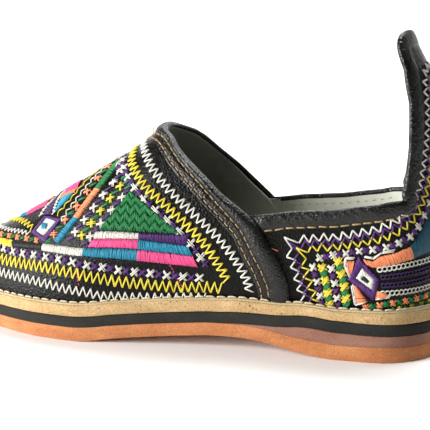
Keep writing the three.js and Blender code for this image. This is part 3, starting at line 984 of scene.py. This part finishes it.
def binding_lift(k, stations):
    """The binding puckers along the topline, lies flatter up the tab and is pared thin at its two ends."""
    height = binding_profile[k][1]
    folds = pucker[(stations + k) % len(collar_edge)] * (0.3 < height) * (1 - 0.7 * on_tab[stations])
    flatter = -0.45 * max(height, 0) * on_tab[stations] - (height + 0.6) * 0.75 * at_ends[stations]
    return folds + flatter


binding_bm = strip(quarter, collar_edge, -1, binding_profile, binding_lift)
made_piece("quarter_binding_leather", binding_bm, trim_leather, "quarter_binding", sharp=60)

# Stitching of the collar, the binding and the welt
# Waxed tan thread holds the collar's fold in two rows and the binding in one. Thicker pale thread sews the
# welt down on the rand's ledge, all round the upper.
sewn = {}


def thread_finish(name, colour, deep):
    """Twisted thread: fine noise mixes its colour with a darker one, as painted glints on the strands and
    painted shade in their folds; larger patches vary its tone at random.
    """
    finish, shader = new_finish(name, colour, 0.5)
    strands = ramp(finish, noise(finish, 1500, 3), [(0.25, 0.3), (0.6, 1.0)])
    patches = ramp(finish, noise(finish, 260, 3), [(0.3, 0.55), (0.65, 1.0)])
    shade = blend(finish, 1.0, strands, patches, how="MULTIPLY")
    link(finish, blend(finish, shade, deep, colour), shader.inputs["Base Color"])
    shader.inputs["Specular IOR Level"].default_value = 0.35
    roughen(finish, shader, noise(finish, 2600, 2), 0.12, 0.8)
    return finish


chance = np.random.default_rng(21)
stitch_shares = np.array([0.0, 0.07, 0.32, 0.68, 0.93, 1.0])
stitch_heights = np.array([-1.0, 0.75, 1.0, 1.0, 0.75, -1.0])


def lay(thread, ground, lines, heights, radius):
    """Keeps lines of thread: points in the ground's own two measures and their heights above it."""
    surface, outward = ground
    points = surface(lines[..., 0], lines[..., 1])
    normal = slopes_of(surface, lines[..., 0], lines[..., 1])[2] * outward
    points = points + normal * heights[..., None]
    sewn.setdefault(thread, []).append((points, radius))


def sew(thread, ground, starts, ends, radius=0.40, lift=0.30, wander=0.12, slack=0.0):
    """Lays straight stitches, which dive into the leather at both ends."""
    starts = np.asarray(starts, float) + chance.normal(0, wander, np.shape(starts))
    ends = np.asarray(ends, float) + chance.normal(0, wander, np.shape(ends))
    lines = starts[:, None, :] + (ends - starts)[:, None, :] * stitch_shares[None, :, None]
    puff = slack * np.sin(stitch_shares * math.pi) * chance.uniform(0.7, 1.2, (len(lines), 1))
    lay(thread, ground, lines, stitch_heights * lift + puff, radius)


def cut_threads(name, thread, finish):
    """Joins all the stitches of one thread into one piece."""
    curve = bpy.data.curves.new(name, "CURVE")
    curve.dimensions = "3D"
    curve.bevel_depth = MM
    curve.bevel_resolution = 1
    curve.use_fill_caps = True
    for points, radius in sewn[thread]:
        for line in points:
            spline = curve.splines.new("POLY")
            spline.points.add(len(line) - 1)
            places = np.column_stack([line * MM, np.ones(len(line))])
            spline.points.foreach_set("co", places.ravel())
            widths = np.full(len(line), radius)
            widths[[0, -1]] *= 0.6
            spline.points.foreach_set("radius", widths)
    drawn = bpy.data.objects.new(name + "_drawn", curve)
    mesh = bpy.data.meshes.new_from_object(drawn)
    bpy.data.objects.remove(drawn)
    mesh.shade_smooth()
    mesh.materials.clear()
    mesh.materials.append(finish)
    piece = bpy.data.objects.new(name, mesh)
    bpy.context.scene.collection.objects.link(piece)
    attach(piece, "root")


def beside(surface, path, distance):
    """A path moved sideways over a surface by a distance, to the left of its run."""
    run = unit(np.gradient(surface(path[:, 0], path[:, 1]), axis=0))
    along, across, normal = slopes_of(surface, path[:, 0], path[:, 1])
    turn = in_own_measures(along, across, np.cross(normal, run))
    return path + turn * np.broadcast_to(distance, len(path))[:, None]


def running(thread, ground, path, pitch, length, radius=0.36, lift=0.22):
    """A row of straight stitches along a path."""
    steps = 8
    fine = evenly(ground[0], path, pitch / steps)
    reach = max(1, int(round(steps * length / pitch)))
    first = np.arange(0, len(fine) - reach, steps)
    sew(thread, ground, fine[first], fine[first + reach], radius, lift, 0.08)


def quarter_lining_face(arc, rise):
    """The inner face of the quarter's lining."""
    depth = leather_thickness + paste + lining_thickness
    return quarter(arc, rise) - slopes_of(quarter, arc, rise)[2] * depth


def topline_halves(row):
    """The outer and the inner half of a row along the topline, up to the tab."""
    return [row[(collar_edge[:, 1] < 54) & (collar_edge[:, 0] * side > 0)] for side in (-1, 1)]


outer_vamp, outer_quarter = (vamp, 1), (quarter, 1)
for depth, offset in ((12.0, 0), (8.55, 2)):
    row = beside(vamp, rear_edge, depth - band_pinch)
    running("tan", outer_vamp, row[3 + offset:-3], 3.7, 2.6, 0.31, 0.30)
for half in topline_halves(beside(quarter, collar_edge, -6.95)):
    running("tan", outer_quarter, half[8:], 5.2, 3.6, 0.40, 0.34)
for half in topline_halves(beside(quarter, collar_edge, -4.6)):
    running("tan", (quarter_lining_face, -1), half[10:-6], 4.4, 1.6, 0.20, 0.12)
loose_tail = np.array([[(-13.6, 88.5), (-14.6, 91.5), (-14.9, 94.5), (-13.8, 97.5)]])
lay("tan", outer_vamp, loose_tail, np.array([[0.0, 1.2, 2.2, 2.4]]), 0.30)

seam_from_edge = ledge - 0.9
outer_foot, inner_foot = outline_sides(seam_from_edge)


def welt_form(run, inset):
    """The welt's upper face, measured round the shoe from the heel and sideways from its seam."""
    loop = np.vstack([outer_foot[::-1], inner_foot[1:]])
    closed = np.vstack([loop, loop[:1]])
    reach = run_along(closed)
    x = np.interp(run % reach[-1], reach, closed[:, 0])
    y = np.interp(run % reach[-1], reach, closed[:, 1])
    return np.stack([x, y * (1 - inset / 100), welt_top(x)], axis=-1)


welt_run = np.column_stack([np.arange(0, 640, 0.5), np.zeros(1280)])
running("cream", (welt_form, -1), welt_run, 5.4, 4.1, 0.46, 0.42)

# Vamp embroidery
# The vamp is embroidered by hand and machine before it is lasted: zigzag borders, rows of crosses, satin
# stripes, a green triangle and, towards the toe, an eye on a stem. The two sides mirror each other.


def vamp_inside(place, girth):
    """The vamp measured up from the inner foot."""
    return vamp(place, outer_girth(place) + inner_girth(place) - girth)


outer_rim = run_along(vamp_outer)
inner_rim = run_along(vamp_inner)


def round_toe(run, girth):
    """The vamp measured round its foot from the toe, less than 0 outside, and up the leather."""
    run, girth = np.broadcast_arrays(np.asarray(run, float), np.asarray(girth, float))
    outer_place = np.interp(-run, outer_rim, vamp_outer[:, 0])
    inner_place = np.interp(run, inner_rim, vamp_inner[:, 0])
    place = np.where(run < 0, outer_place, inner_place)
    total = outer_girth(place) + inner_girth(place)
    return vamp(place, np.where(run < 0, girth, total - girth))


def round_the_toe(rows):
    """A guide given from the toe back along one side, carried round the toe to the other side."""
    rows = np.array(rows, float)
    outer = np.column_stack([-np.interp(rows[:, 0], vamp_outer[:, 0], outer_rim), rows[:, 1]])
    inner = np.column_stack([np.interp(rows[:, 0], vamp_inner[:, 0], inner_rim), rows[:, 1]])
    return smooth_guide(np.vstack([outer[::-1], inner]))


def smooth_guide(rows):
    """A soft curve through a guide's points."""
    rows = np.asarray(rows, float)
    padded = np.vstack([2 * rows[0] - rows[1], rows, 2 * rows[-1] - rows[-2]])
    t = np.linspace(0, 1, 12, endpoint=False)[:, None]
    pieces = []
    for p0, p1, p2, p3 in zip(padded, padded[1:], padded[2:], padded[3:]):
        pieces.append(0.5 * (2 * p1 + (p2 - p0) * t + (2 * p0 - 5 * p1 + 4 * p2 - p3) * t**2
                             + (3 * p1 - p0 - 3 * p2 + p3) * t**3))
    return np.vstack(pieces + [rows[-1:]])


def zigzag(thread, ground, guide, pitch, width, radius=0.42, floor_girth=None, first=1):
    """Stitches that go back and forth across a guide; those below the upper's foot are cut off there."""
    surface = ground[0]
    middle = evenly(surface, guide, pitch / 2)
    sides = np.where(np.arange(len(middle)) % 2 == 0, 0.5, -0.5) * width * first
    tips = beside(surface, middle, sides) + chance.normal(0, 0.14, (len(middle), 2))
    starts, ends = tips[:-1].copy(), tips[1:].copy()
    if floor_girth is not None:
        for near, far in ((starts, ends), (ends, starts)):
            low = near[:, 1] < floor_girth
            share = (floor_girth - near[:, 1]) / np.where(low, far[:, 1] - near[:, 1], 1)
            moved = near + (far - near) * share[:, None]
            near[low] = moved[low]
        keep = (starts[:, 1] > floor_girth - 0.05) & (ends[:, 1] > floor_girth - 0.05)
        keep &= np.linalg.norm(starts - ends, axis=1) > 0.8
        starts, ends = starts[keep], ends[keep]
    sew(thread, ground, starts, ends, radius, 0.34, 0.03)
    return tips


def crosses(threads, ground, guide, spacing, size, strands=2, upright=False):
    """Crossed stitches along a guide, whose threads take turns; a name with a dash is one slanting stitch."""
    centres = evenly(ground[0], guide, spacing)
    run = np.tile([1.0, 0.0], (len(centres), 1)) if upright else unit(np.gradient(centres, axis=0))
    side = np.column_stack([-run[:, 1], run[:, 0]])
    slant = np.array([0.93, 0.37])
    for turn_index, thread in enumerate(threads):
        at = centres[turn_index::len(threads)]
        forward, sideways = run[turn_index::len(threads)], side[turn_index::len(threads)]
        scale = size[turn_index % len(size)] / 2 / math.sqrt(2)
        single = thread.endswith("-")
        for way in [1] if single else [1, -1]:
            arm = (forward + sideways * way) * scale
            width = (forward - sideways * way) / math.sqrt(2)
            if single:
                arm = np.tile(slant * scale * math.sqrt(2), (len(at), 1))
                width = np.tile([-slant[1], slant[0]], (len(at), 1))
            for strand in range(strands):
                shift = width * (strand - (strands - 1) / 2) * 0.66
                lift = 0.32 if way > 0 else 0.66
                sew(thread.rstrip("-"), ground, at - arm + shift, at + arm + shift, 0.34, lift, 0.16)


def satin(thread, ground, one_edge, other_edge, pitch=0.68, radius=0.37, slack=0.55):
    """Close parallel stitches that fill the band between two edges and stand up between them."""
    surface = ground[0]
    one = evenly(surface, one_edge, 0.2)
    other = evenly(surface, other_edge, 0.2)
    count = max(2, int(round(max(len(one), len(other)) * 0.2 / pitch)))
    starts = one[np.linspace(0, len(one) - 1, count).astype(int)]
    ends = other[np.linspace(0, len(other) - 1, count).astype(int)]
    keep = np.linalg.norm(starts - ends, axis=1) > 0.5
    sew(thread, ground, starts[keep], ends[keep], radius, 0.30, 0.09, slack)


def flame(thread, ground, left, peak, right, length=4.4, wave=1.5, period=5.2):
    """Fills a triangle with upright stitches whose ends step up and down in a zigzag."""
    places = np.arange(left[0] + 0.4, right[0], 0.64)
    base = np.interp(places, [left[0], right[0]], [left[1], right[1]])
    top = np.interp(places, [left[0], peak[0], right[0]], [left[1], peak[1], right[1]])
    shift = (np.abs((places / period) % 1 - 0.5) * 4 - 1) * wave
    starts, ends = [], []
    for place, low, high, move in zip(places, base, top, shift):
        for cut in np.arange(low + move - length, high, length):
            start, end = max(low, cut), min(high, cut + length - 0.35)
            if end - start > 0.7:
                starts.append((place, start))
                ends.append((place, end))
    sew(thread, ground, starts, ends, 0.37, 0.40, 0.08, 0.35)


rear_white = [
    (-21.5, 99.0), (-20.6, 92.0), (-18.4, 82.5), (-10.7, 68.7), (-4.8, 61.5), (1.4, 54.4), (8.6, 47.8),
    (15.2, 41.7), (21.9, 35.4), (28.1, 29.2), (33.1, 22.6), (37.5, 16.0), (41.0, 9.0), (41.6, 4.6),
]
rear_yellow = [
    (-29.0, 96.0), (-27.0, 90.0), (-23.4, 74.1), (-17.2, 64.0), (-10.5, 56.2), (-3.8, 50.7),
    (2.9, 44.5), (9.1, 39.2), (15.7, 32.6), (21.7, 25.4), (26.6, 17.5), (30.6, 9.6),
]
rear_cross = [
    (-36.0, 91.5), (-33.0, 84.0), (-29.6, 75.4), (-25.1, 67.5), (-19.9, 60.5), (-14.5, 54.2),
    (-9.3, 48.9), (-2.6, 43.3), (3.9, 38.2), (9.8, 32.3), (15.0, 25.8), (20.0, 18.4),
]
low_white = [
    (-131.6, 10.8), (-126.0, 10.8), (-110.0, 10.8), (-93.9, 10.7), (-72.9, 10.1), (-60.3, 8.8),
    (-42.9, 6.6), (-34.3, 4.4), (-27.8, 3.2), (-10.7, 1.6), (4.0, 0.9), (14.0, 0.7), (20.0, 0.6),
]
low_yellow = [
    (-131.6, 17.4), (-126.0, 17.6), (-110.0, 17.8), (-96.7, 17.7), (-64.2, 17.5), (-43.4, 15.4),
    (-27.8, 11.6), (-10.7, 8.6), (6.1, 6.6), (22.9, 6.0), (28.0, 5.8),
]
low_cross = [
    (-131.6, 24.0), (-126.0, 24.2), (-110.0, 24.0), (-93.2, 23.4), (-84.3, 22.9), (-67.9, 23.0),
    (-52.3, 22.2), (-36.7, 19.5), (-20.4, 16.2), (-3.8, 13.7), (13.8, 11.4), (17.0, 11.2),
]
toe_ground = (round_toe, -1)
zigzag("white", toe_ground, round_the_toe(low_white), 3.7, 4.9, floor_girth=0.35)
for _ in range(2):
    zigzag("yellow", toe_ground, round_the_toe(low_yellow), 3.7, 5.9, 0.38, floor_girth=0.35)
crosses(["white", "purple"], toe_ground, round_the_toe(low_cross), 4.1, (5.4, 4.8))
for ground in (outer_vamp, (vamp_inside, -1)):
    zigzag("white", ground, smooth_guide(rear_white), 3.5, 4.7)
    for _ in range(2):
        zigzag("yellow", ground, smooth_guide(rear_yellow), 3.5, 5.0, 0.38)
    crosses(["white", "purple"], ground, smooth_guide(rear_cross), 4.1, (5.4, 4.8), upright=True)

    # Satin stripes and the triangle
    satin("white", ground, [(-35.9, 36.9), (-13.5, 34.6)], [(-36.9, 33.3), (-13.6, 31.8)])
    satin("purple", ground, [(-13.3, 34.6), (9.6, 33.0)], [(-13.4, 31.8), (11.0, 27.7)])
    satin("pink", ground, [(-37.0, 33.1), (-13.7, 31.5)], [(-39.6, 29.2), (-13.8, 26.9)])
    satin("teal", ground, [(-13.5, 31.4), (11.2, 27.3)], [(-13.6, 26.6), (13.4, 22.6)])
    satin("teal", ground, [(-41.8, 28.8), (-13.8, 26.5)], [(-42.6, 25.0), (-13.9, 21.0)])
    satin("pink", ground, [(-13.6, 26.3), (13.6, 22.3)], [(-13.7, 20.8), (16.2, 16.6)])
    satin("white", ground, [(-66.6, 29.4), (-42.2, 28.8)], [(-66.8, 25.9), (-43.0, 24.9)])
    satin("yellow", ground, [(-103.5, 29.0), (-89.5, 28.9)], [(-103.0, 24.9), (-88.6, 25.1)])
    satin("black", ground, [(-89.0, 28.9), (-67.2, 29.4)], [(-88.2, 25.3), (-67.2, 26.0)])
    flame("green", ground, (-34.6, 37.6), (-19.9, 56.0), (8.0, 33.6))

    # Columns of crosses left of the triangle
    crosses(["white", "purple-"], ground, [(-32.5, 75.8), (-28.1, 67.1), (-50.1, 33.6)], 4.0, (5.0, 4.6))
    crosses(["yellow", "green-"], ground, [(-26.4, 59.5), (-43.9, 35.2)], 3.75, (5.0, 4.6))
    crosses(["white", "purple-"], ground, [(-24.0, 53.2), (-41.6, 31.4)], 4.4, (5.0, 4.6))
    crosses(["green-"], ground, [(-24.8, 64.4), (-21.6, 58.6)], 4.0, (4.4,))
    crosses(["purple-"], ground, [(-24.4, 60.4), (-21.8, 56.4)], 4.0, (4.4,))

    # The slanting satin band in green, orange and teal
    satin("green", ground, [(-34.2, 81.2), (-38.6, 70.0), (-42.1, 61.3)],
          [(-30.6, 78.4), (-34.8, 67.5), (-38.4, 59.9)])
    satin("orange", ground, [(-42.3, 60.9), (-50.8, 44.9)], [(-38.6, 59.4), (-47.4, 43.9)])
    satin("teal", ground, [(-51.0, 44.5), (-60.2, 32.2)], [(-47.6, 43.5), (-56.6, 30.4)])

    # Inner frame: orange crosses with green, then a thin white and a thin yellow zigzag
    crosses(["orange", "green-"], ground, [(-36.6, 86.4), (-39.4, 77.0), (-42.6, 67.4), (-46.6, 58.6),
                                          (-50.6, 50.2), (-55.6, 42.6), (-60.6, 35.4), (-63.6, 31.0)],
            4.5, (4.4, 4.4))
    crosses(["orange", "green-"], ground, smooth_guide([(-122.0, 37.4), (-113.0, 34.4), (-104.0, 31.6),
                                                        (-90.0, 31.2), (-71.6, 30.8)]), 4.1, (3.9, 3.6))
    zigzag("white", ground, smooth_guide([(-40.0, 87.0), (-42.2, 78.8), (-45.0, 71.6), (-51.4, 56.0),
                                          (-58.4, 42.0)]), 4.3, 2.2, 0.34)
    zigzag("white", ground, smooth_guide([(-120.5, 41.0), (-113.0, 38.4), (-104.0, 36.0), (-90.0, 34.8),
                                          (-78.0, 34.0)]), 3.8, 2.6, 0.34)
    zigzag("yellow", ground, smooth_guide([(-44.4, 85.4), (-46.2, 78.0), (-49.2, 71.4), (-55.4, 57.0),
                                           (-62.2, 45.4)]), 5.0, 1.8, 0.36)
    zigzag("yellow", ground, smooth_guide([(-113.0, 47.6), (-105.1, 46.2), (-94.4, 43.8), (-83.3, 40.1),
                                           (-77.0, 36.9)]), 4.4, 3.4, 0.40)

    # The eye and its stem
    eye_outer = [(-70.9, 45.2), (-58.3, 43.0), (-65.6, 30.3), (-76.6, 34.5), (-70.9, 45.2)]
    eye_inner = [(-69.4, 43.4), (-61.2, 41.9), (-67.3, 33.4), (-73.8, 36.2), (-69.4, 43.4)]
    for k in range(4):
        satin("purple", ground, eye_outer[k:k + 2], eye_inner[k:k + 2], 0.6, 0.36, 0.3)
    satin("white", ground, [(-69.2, 43.2), (-73.5, 36.3)], [(-61.6, 41.6), (-67.3, 33.7)], 0.6, 0.36, 0.2)
    satin("teal", ground, [(-69.2, 40.9), (-66.6, 40.6)], [(-69.4, 36.9), (-67.0, 36.8)], 0.5, 0.38, 1.1)
    satin("dark purple", ground, [(-72.6, 45.8), (-72.2, 52.0), (-70.4, 57.0), (-69.0, 62.0), (-68.8, 72.6)],
          [(-66.6, 46.2), (-66.8, 52.0), (-67.2, 57.0), (-67.6, 62.0), (-67.7, 72.6)], 0.8)
    zigzag("white", ground, smooth_guide([(-74.4, 45.2), (-74.1, 50.3), (-72.9, 55.6), (-70.9, 60.0),
                                          (-69.8, 66.0), (-69.7, 73.0)]), 2.3, 2.6, 0.36)
    zigzag("white", ground, smooth_guide([(-64.8, 46.4), (-65.7, 50.6), (-66.4, 56.1), (-66.8, 62.0),
                                          (-66.9, 66.0), (-66.9, 73.6)]), 2.3, 2.4, 0.36)
    satin("teal", ground, [(-63.6, 48.0), (-64.4, 53.0), (-64.4, 57.0)],
          [(-62.6, 48.4), (-58.3, 54.9), (-56.3, 59.6)])
    satin("orange", ground, [(-65.0, 57.4), (-60.5, 58.6), (-55.8, 60.2)],
          [(-64.6, 61.2), (-60.0, 61.9), (-55.0, 62.8)])
    satin("pink", ground, [(-64.6, 61.8), (-60.0, 62.4), (-55.2, 63.4)],
          [(-64.8, 72.0), (-60.0, 72.6), (-56.6, 73.2)])
    satin("pink", ground, [(-87.6, 47.4), (-82.8, 50.2), (-75.8, 53.8)],
          [(-88.6, 52.0), (-83.4, 55.6), (-74.0, 60.4)])
    satin("orange", ground, [(-88.6, 52.4), (-83.4, 56.0), (-73.8, 60.8)],
          [(-88.8, 54.6), (-83.8, 58.4), (-73.2, 63.6)])
    satin("teal", ground, [(-94.0, 46.6), (-88.2, 47.2)], [(-93.0, 49.6), (-89.0, 51.8)])

# Ends of pink basting thread and one of orange were left on the outer side
running("pink", outer_vamp, [(-45.9, 18.6), (-44.8, 13.0), (-43.7, 8.5)], 1.9, 1.1, 0.20)
running("pink", outer_vamp, [(2.4, 18.4), (5.3, 12.6), (8.1, 6.7)], 1.9, 1.1, 0.20)
sew("orange", outer_quarter, [(-95.4, 27.4)], [(-91.0, 26.4)], 0.30, 0.5)

# Quarter embroidery
# The heel is framed by white, purple and yellow zigzags that climb both edges of the tab and meet under its
# tip. Inside them are crosses, short columns of colour, and an eye whose chain-stitched lashes run on round
# the back.


def quarter_inside(arc, rise):
    """The quarter measured forward along the inner side."""
    return quarter(-arc, rise)


white_top = [
    (-81.2, 33.4), (-76.2, 34.2), (-70.8, 35.4), (-65.2, 35.8), (-60.4, 36.8), (-55.1, 37.6),
    (-50.6, 38.4), (-46.7, 39.3), (-42.6, 40.6), (-39.0, 42.0), (-35.5, 43.9), (-31.6, 46.8),
    (-27.6, 51.4), (-24.4, 56.8), (-21.8, 62.8), (-19.4, 73.0), (-16.4, 86.0), (-15.0, 96.0),
    (-14.8, 102.0), (-13.4, 108.0), (-9.4, 112.6), (-0.2, 115.2),
]
white_front = [
    (-86.2, 27.4), (-84.6, 23.4), (-83.0, 19.0), (-81.4, 13.6), (-79.4, 8.6), (-76.8, 3.6),
    (-75.6, 1.0),
]
cross_row = [
    (-71.0, 25.3), (-65.0, 27.2), (-57.9, 28.4), (-51.9, 29.3), (-46.1, 30.2), (-40.2, 31.2),
    (-33.8, 33.5), (-29.0, 35.8), (-25.6, 39.1), (-22.4, 43.4), (-18.8, 48.6), (-15.2, 55.0),
    (-12.2, 62.0), (-9.6, 73.0), (-7.0, 86.0), (-5.6, 96.0), (-4.2, 102.0), (-0.1, 106.4),
]


def frame_rows(thread, ground, inwards, corner, radius):
    """One zigzag of the frame, moved inwards: its top row, its front row and their corner's long stitches."""
    top = beside(quarter, smooth_guide(white_top), -inwards)
    front = beside(quarter, smooth_guide(white_front), inwards)
    top = top[top[:, 0] > corner[0] + 5.6]
    front = front[front[:, 1] < corner[1] - 5.4]
    first_top = zigzag(thread, ground, top, 4.7, 3.7, radius, first=-1)[0]
    first_front = zigzag(thread, ground, front, 5.6, 3.8, radius, floor_girth=0.4)[0]
    sew(thread, ground, [corner, corner], [first_top, first_front], radius, 0.34, 0.1)


def chain(thread, ground, row, width, pitch):
    """Chain stitch: linked loops along a row, which runs on to meet its other half at the back."""
    surface, radius = ground[0], 0.36
    links = evenly(surface, row + [(-0.1, row[-1][1] + 0.6)], pitch)
    starts, ends = links[:-1], links[1:] + (links[1:] - links[:-1]) * 0.18
    shares = np.array([0.0, 0.2, 0.45, 0.7, 0.9, 1.0])
    lines = starts[:, None, :] + (ends - starts)[:, None, :] * shares[None, :, None]
    flat = lines.reshape(-1, 2)
    run = unit(surface(ends[:, 0], ends[:, 1]) - surface(starts[:, 0], starts[:, 1]))
    along, across, normal = slopes_of(surface, flat[:, 0], flat[:, 1])
    turn = in_own_measures(along, across, np.cross(normal, np.repeat(run, len(shares), axis=0)))
    heights = np.tile([0.15, 0.42, 0.42, 0.50, 0.62, -0.10], (len(starts), 1))
    for side in (-1, 1):
        bows = np.array([0.10, 0.75, 1.0, 0.85, 0.35, 0.05]) * side * (width / 2 - radius)
        moved = flat + turn * np.tile(bows, len(starts))[:, None]
        lay(thread, ground, moved.reshape(lines.shape), heights, radius)


for ground in (outer_quarter, (quarter_inside, -1)):
    frame_rows("purple", ground, 2.4, (-86.0, 31.4), 0.50)
    frame_rows("white", ground, 0.0, (-88.2, 33.6), 0.44)
    frame_rows("yellow", ground, 4.9, (-82.6, 29.0), 0.42)
    crosses(["white", "purple"], ground, smooth_guide(cross_row), 3.15, (4.3, 3.6), upright=True)
    crosses(["white", "purple"], ground, [(-74.2, 20.4), (-68.6, 3.2)], 3.4, (4.3, 3.6))
    crosses(["yellow", "green"], ground, [(-69.8, 20.6), (-64.6, 2.8)], 3.0, (4.8, 3.6), 3)
    crosses(["white", "purple"], ground, [(-65.6, 20.6), (-60.6, 2.8)], 3.4, (4.3, 3.6))
    crosses(["yellow", "green"], ground, [(-62.4, 24.3), (-56.6, 3.0)], 3.05, (5.0, 3.6), 3)

    # The eye, with pieces of orange behind it, edged in white
    satin("orange", ground, [(-58.4, 24.6), (-55.0, 24.4)], [(-57.2, 17.4), (-56.2, 18.4)])
    satin("orange", ground, [(-54.6, 12.4), (-52.4, 4.2)], [(-53.2, 11.8), (-47.2, 5.0)])
    satin("orange", ground, [(-44.0, 10.0), (-44.0, 7.0)], [(-37.4, 7.8), (-38.0, 7.0)])
    white_lines = [
        [(-55.2, 25.5), (-59.4, 25.6), (-59.4, 21.6), (-56.8, 16.2)],
        [(-55.6, 12.4), (-54.2, 7.4), (-52.6, 2.8), (-48.0, 4.2)],
        [(-43.6, 5.9), (-40.0, 6.6), (-37.4, 7.0)],
        [(-50.6, 26.3), (-46.6, 25.6), (-42.8, 28.4), (-36.8, 29.4)],
    ]
    for line in white_lines:
        for shift in (0, 0.55):
            whole = np.array(line) + shift
            sew("white", ground, whole[:-1], whole[1:], 0.36, 0.5, 0.10)
    satin("purple", ground, [(-53.1, 26.4), (-43.2, 15.8)], [(-51.2, 21.4), (-45.4, 15.8)])
    satin("purple", ground, [(-43.2, 15.8), (-44.6, 5.4)], [(-45.4, 15.6), (-45.8, 10.8)])
    satin("purple", ground, [(-44.6, 5.4), (-57.8, 15.6)], [(-46.0, 10.8), (-53.9, 16.2)])
    satin("purple", ground, [(-57.8, 15.6), (-53.1, 26.4)], [(-53.9, 16.6), (-51.4, 21.2)])
    satin("white", ground, [(-53.8, 16.4), (-51.2, 21.0), (-45.4, 15.8)],
          [(-51.3, 15.8), (-50.4, 17.3), (-48.1, 15.3)], 0.5, 0.34)
    satin("white", ground, [(-53.8, 16.2), (-45.8, 10.6), (-45.4, 15.8)],
          [(-51.1, 15.5), (-48.5, 13.9), (-48.1, 15.1)], 0.5, 0.34)
    satin("black", ground, [(-51.3, 15.9), (-50.2, 17.2), (-48.2, 15.2)],
          [(-50.9, 15.2), (-48.6, 13.9), (-48.3, 14.6)], 0.45, 0.36, 0.75)

    # The orange arm, the teal ground beyond it, and the lashes of chain stitch
    satin("orange", ground, [(-50.6, 25.2), (-46.3, 24.3), (-43.0, 26.9), (-36.4, 28.2), (-29.0, 30.8)],
          [(-48.6, 22.4), (-46.0, 21.4), (-42.0, 21.4), (-35.1, 23.2), (-26.9, 25.0)])
    satin("deep teal", ground, [(-28.6, 31.4), (-24.0, 36.8), (-19.6, 43.2), (-8.0, 47.0), (-0.3, 48.4)],
          [(-26.6, 25.2), (-20.0, 26.8), (-15.0, 27.8), (-7.0, 28.8), (-0.3, 29.2)])
    chain("white", ground, [(-44.4, 20.4), (-30.0, 22.4), (-16.1, 24.0)], 3.1, 2.2)
    chain("white", ground, [(-42.0, 8.9), (-28.0, 9.5), (-14.2, 10.5)], 3.1, 2.2)
    chain("dark purple", ground, [(-42.6, 16.7), (-29.0, 18.2), (-15.7, 19.8)], 2.9, 1.9)
    chain("dark purple", ground, [(-42.0, 12.8), (-28.0, 13.8), (-15.3, 15.2)], 2.9, 1.9)
    crosses(["orange", "green"], ground, [(-47.4, 1.8), (-36.0, 3.8), (-18.3, 5.6), (-0.2, 6.6)],
            3.1, (3.8, 3.6), upright=True)
    crosses(["green", "yellow"], ground, [(-34.0, 0.6), (-20.0, 1.6), (-0.2, 2.4)],
            3.1, (3.2, 3.4), upright=True)

# Each thread has its colour and a darker one, which its finish paints in as shade in the folds and in random
# patches.
thread_colours = {
    "white": ("d6d4ca", "a29f94"),
    "cream": ("ddcfb2", "9c8662"),
    "yellow": ("dfcd40", "a08c1e"),
    "purple": ("4d2069", "270f3a"),
    "dark purple": ("3a1b50", "1a0d25"),
    "green": ("10793d", "05401c"),
    "orange": ("ee9264", "b5603a"),
    "teal": ("1b8aa8", "0b4f63"),
    "deep teal": ("125065", "072d3a"),
    "pink": ("e85490", "a52a5c"),
    "black": ("161516", "0a0a0a"),
    "tan": ("ad9266", "66502f"),
}
for thread, (colour, deep) in thread_colours.items():
    name = thread.replace(" ", "_") + "_thread"
    cut_threads(name, thread, thread_finish(name, colour, deep))

# Floor and backdrop
# A pale sheet of paper lies under the shoe and sweeps up behind it in one soft curve.
# It has no edge in the picture, so the shoe stands before a plain, nearly white ground.
sweep_bm = bmesh.new()
bmesh.ops.create_grid(sweep_bm, x_segments=4, y_segments=40, size=0.5)
for vert in sweep_bm.verts:
    back = vert.co.y + 0.5
    climb = ease(back, 0.55, 0.95)
    vert.co = (vert.co.x * 8.0, -3.0 + back * 6.0, float(climb) * 3.0)
sweep = bpy.data.meshes.new("floor_sweep")
sweep_bm.to_mesh(sweep)
sweep_bm.free()
sweep.shade_smooth()
paper, paper_shader = new_finish("pale_paper", "f4f3f1", 0.9)
paper_tone = ramp(paper, noise(paper, 3, 2), [(0.3, "f2f1ef"), (0.7, "f6f5f3")])
link(paper, paper_tone, paper_shader.inputs["Base Color"])
sweep.materials.append(paper)
floor = bpy.data.objects.new("floor_sweep", sweep)
bpy.context.scene.collection.objects.link(floor)

# Light
# A tall soft box and a flat low one light the shoe from the front left, so the inside stays in shadow.
# One above and behind draws the highlights along the collar and the topline.
world = bpy.data.worlds.new("studio")
bpy.context.scene.world = world
world.use_nodes = True
world.node_tree.nodes["Background"].inputs["Color"].default_value = (0.95, 0.97, 1.0, 1)
world.node_tree.nodes["Background"].inputs["Strength"].default_value = 0.07


def soft_box(name, place, aim, size, power):
    """A rectangular lamp at a place, turned to what it lights."""
    lamp = bpy.data.lights.new(name, "AREA")
    lamp.shape = "RECTANGLE"
    lamp.size, lamp.size_y = size
    lamp.energy = power
    box = bpy.data.objects.new(name, lamp)
    box.location = place
    box.rotation_euler = (Vector(aim) - Vector(place)).to_track_quat("-Z", "Y").to_euler()
    bpy.context.scene.collection.objects.link(box)


soft_box("key_box", (-1.28, -0.94, 0.54), (-0.02, 0, 0.04), (0.50, 0.85), 54)
soft_box("low_box", (-1.22, -0.80, 0.13), (0, 0, 0.03), (0.60, 0.16), 9)
soft_box("top_box", (0.20, 0.45, 1.2), (0, 0, 0.06), (0.9, 0.5), 20)

# Camera
# It stands low on the outer side, a little behind the middle, and looks slightly down.
# Its focal length was found, with its place, from points of the shoe in a picture 430 pixels wide.
picture_width = 430
focal_pixels = 741.98
camera_data = bpy.data.cameras.new("camera")
camera_data.sensor_width = 36.0
camera_data.lens = camera_data.sensor_width * focal_pixels / picture_width
camera = bpy.data.objects.new("camera", camera_data)
bpy.context.scene.collection.objects.link(camera)
right = Vector((0.96777, 0.25160, 0.01073))
forward = Vector((-0.24552, 0.95218, -0.18186))
upward = right.cross(forward)
turned = Matrix((right, upward, -forward)).transposed().to_4x4()
camera.matrix_world = Matrix.Translation((0.11202, -0.37483, 0.13256)) @ turned
camera_data.clip_start = 0.01
bpy.context.scene.camera = camera
bpy.context.scene.view_settings.view_transform = "Standard"
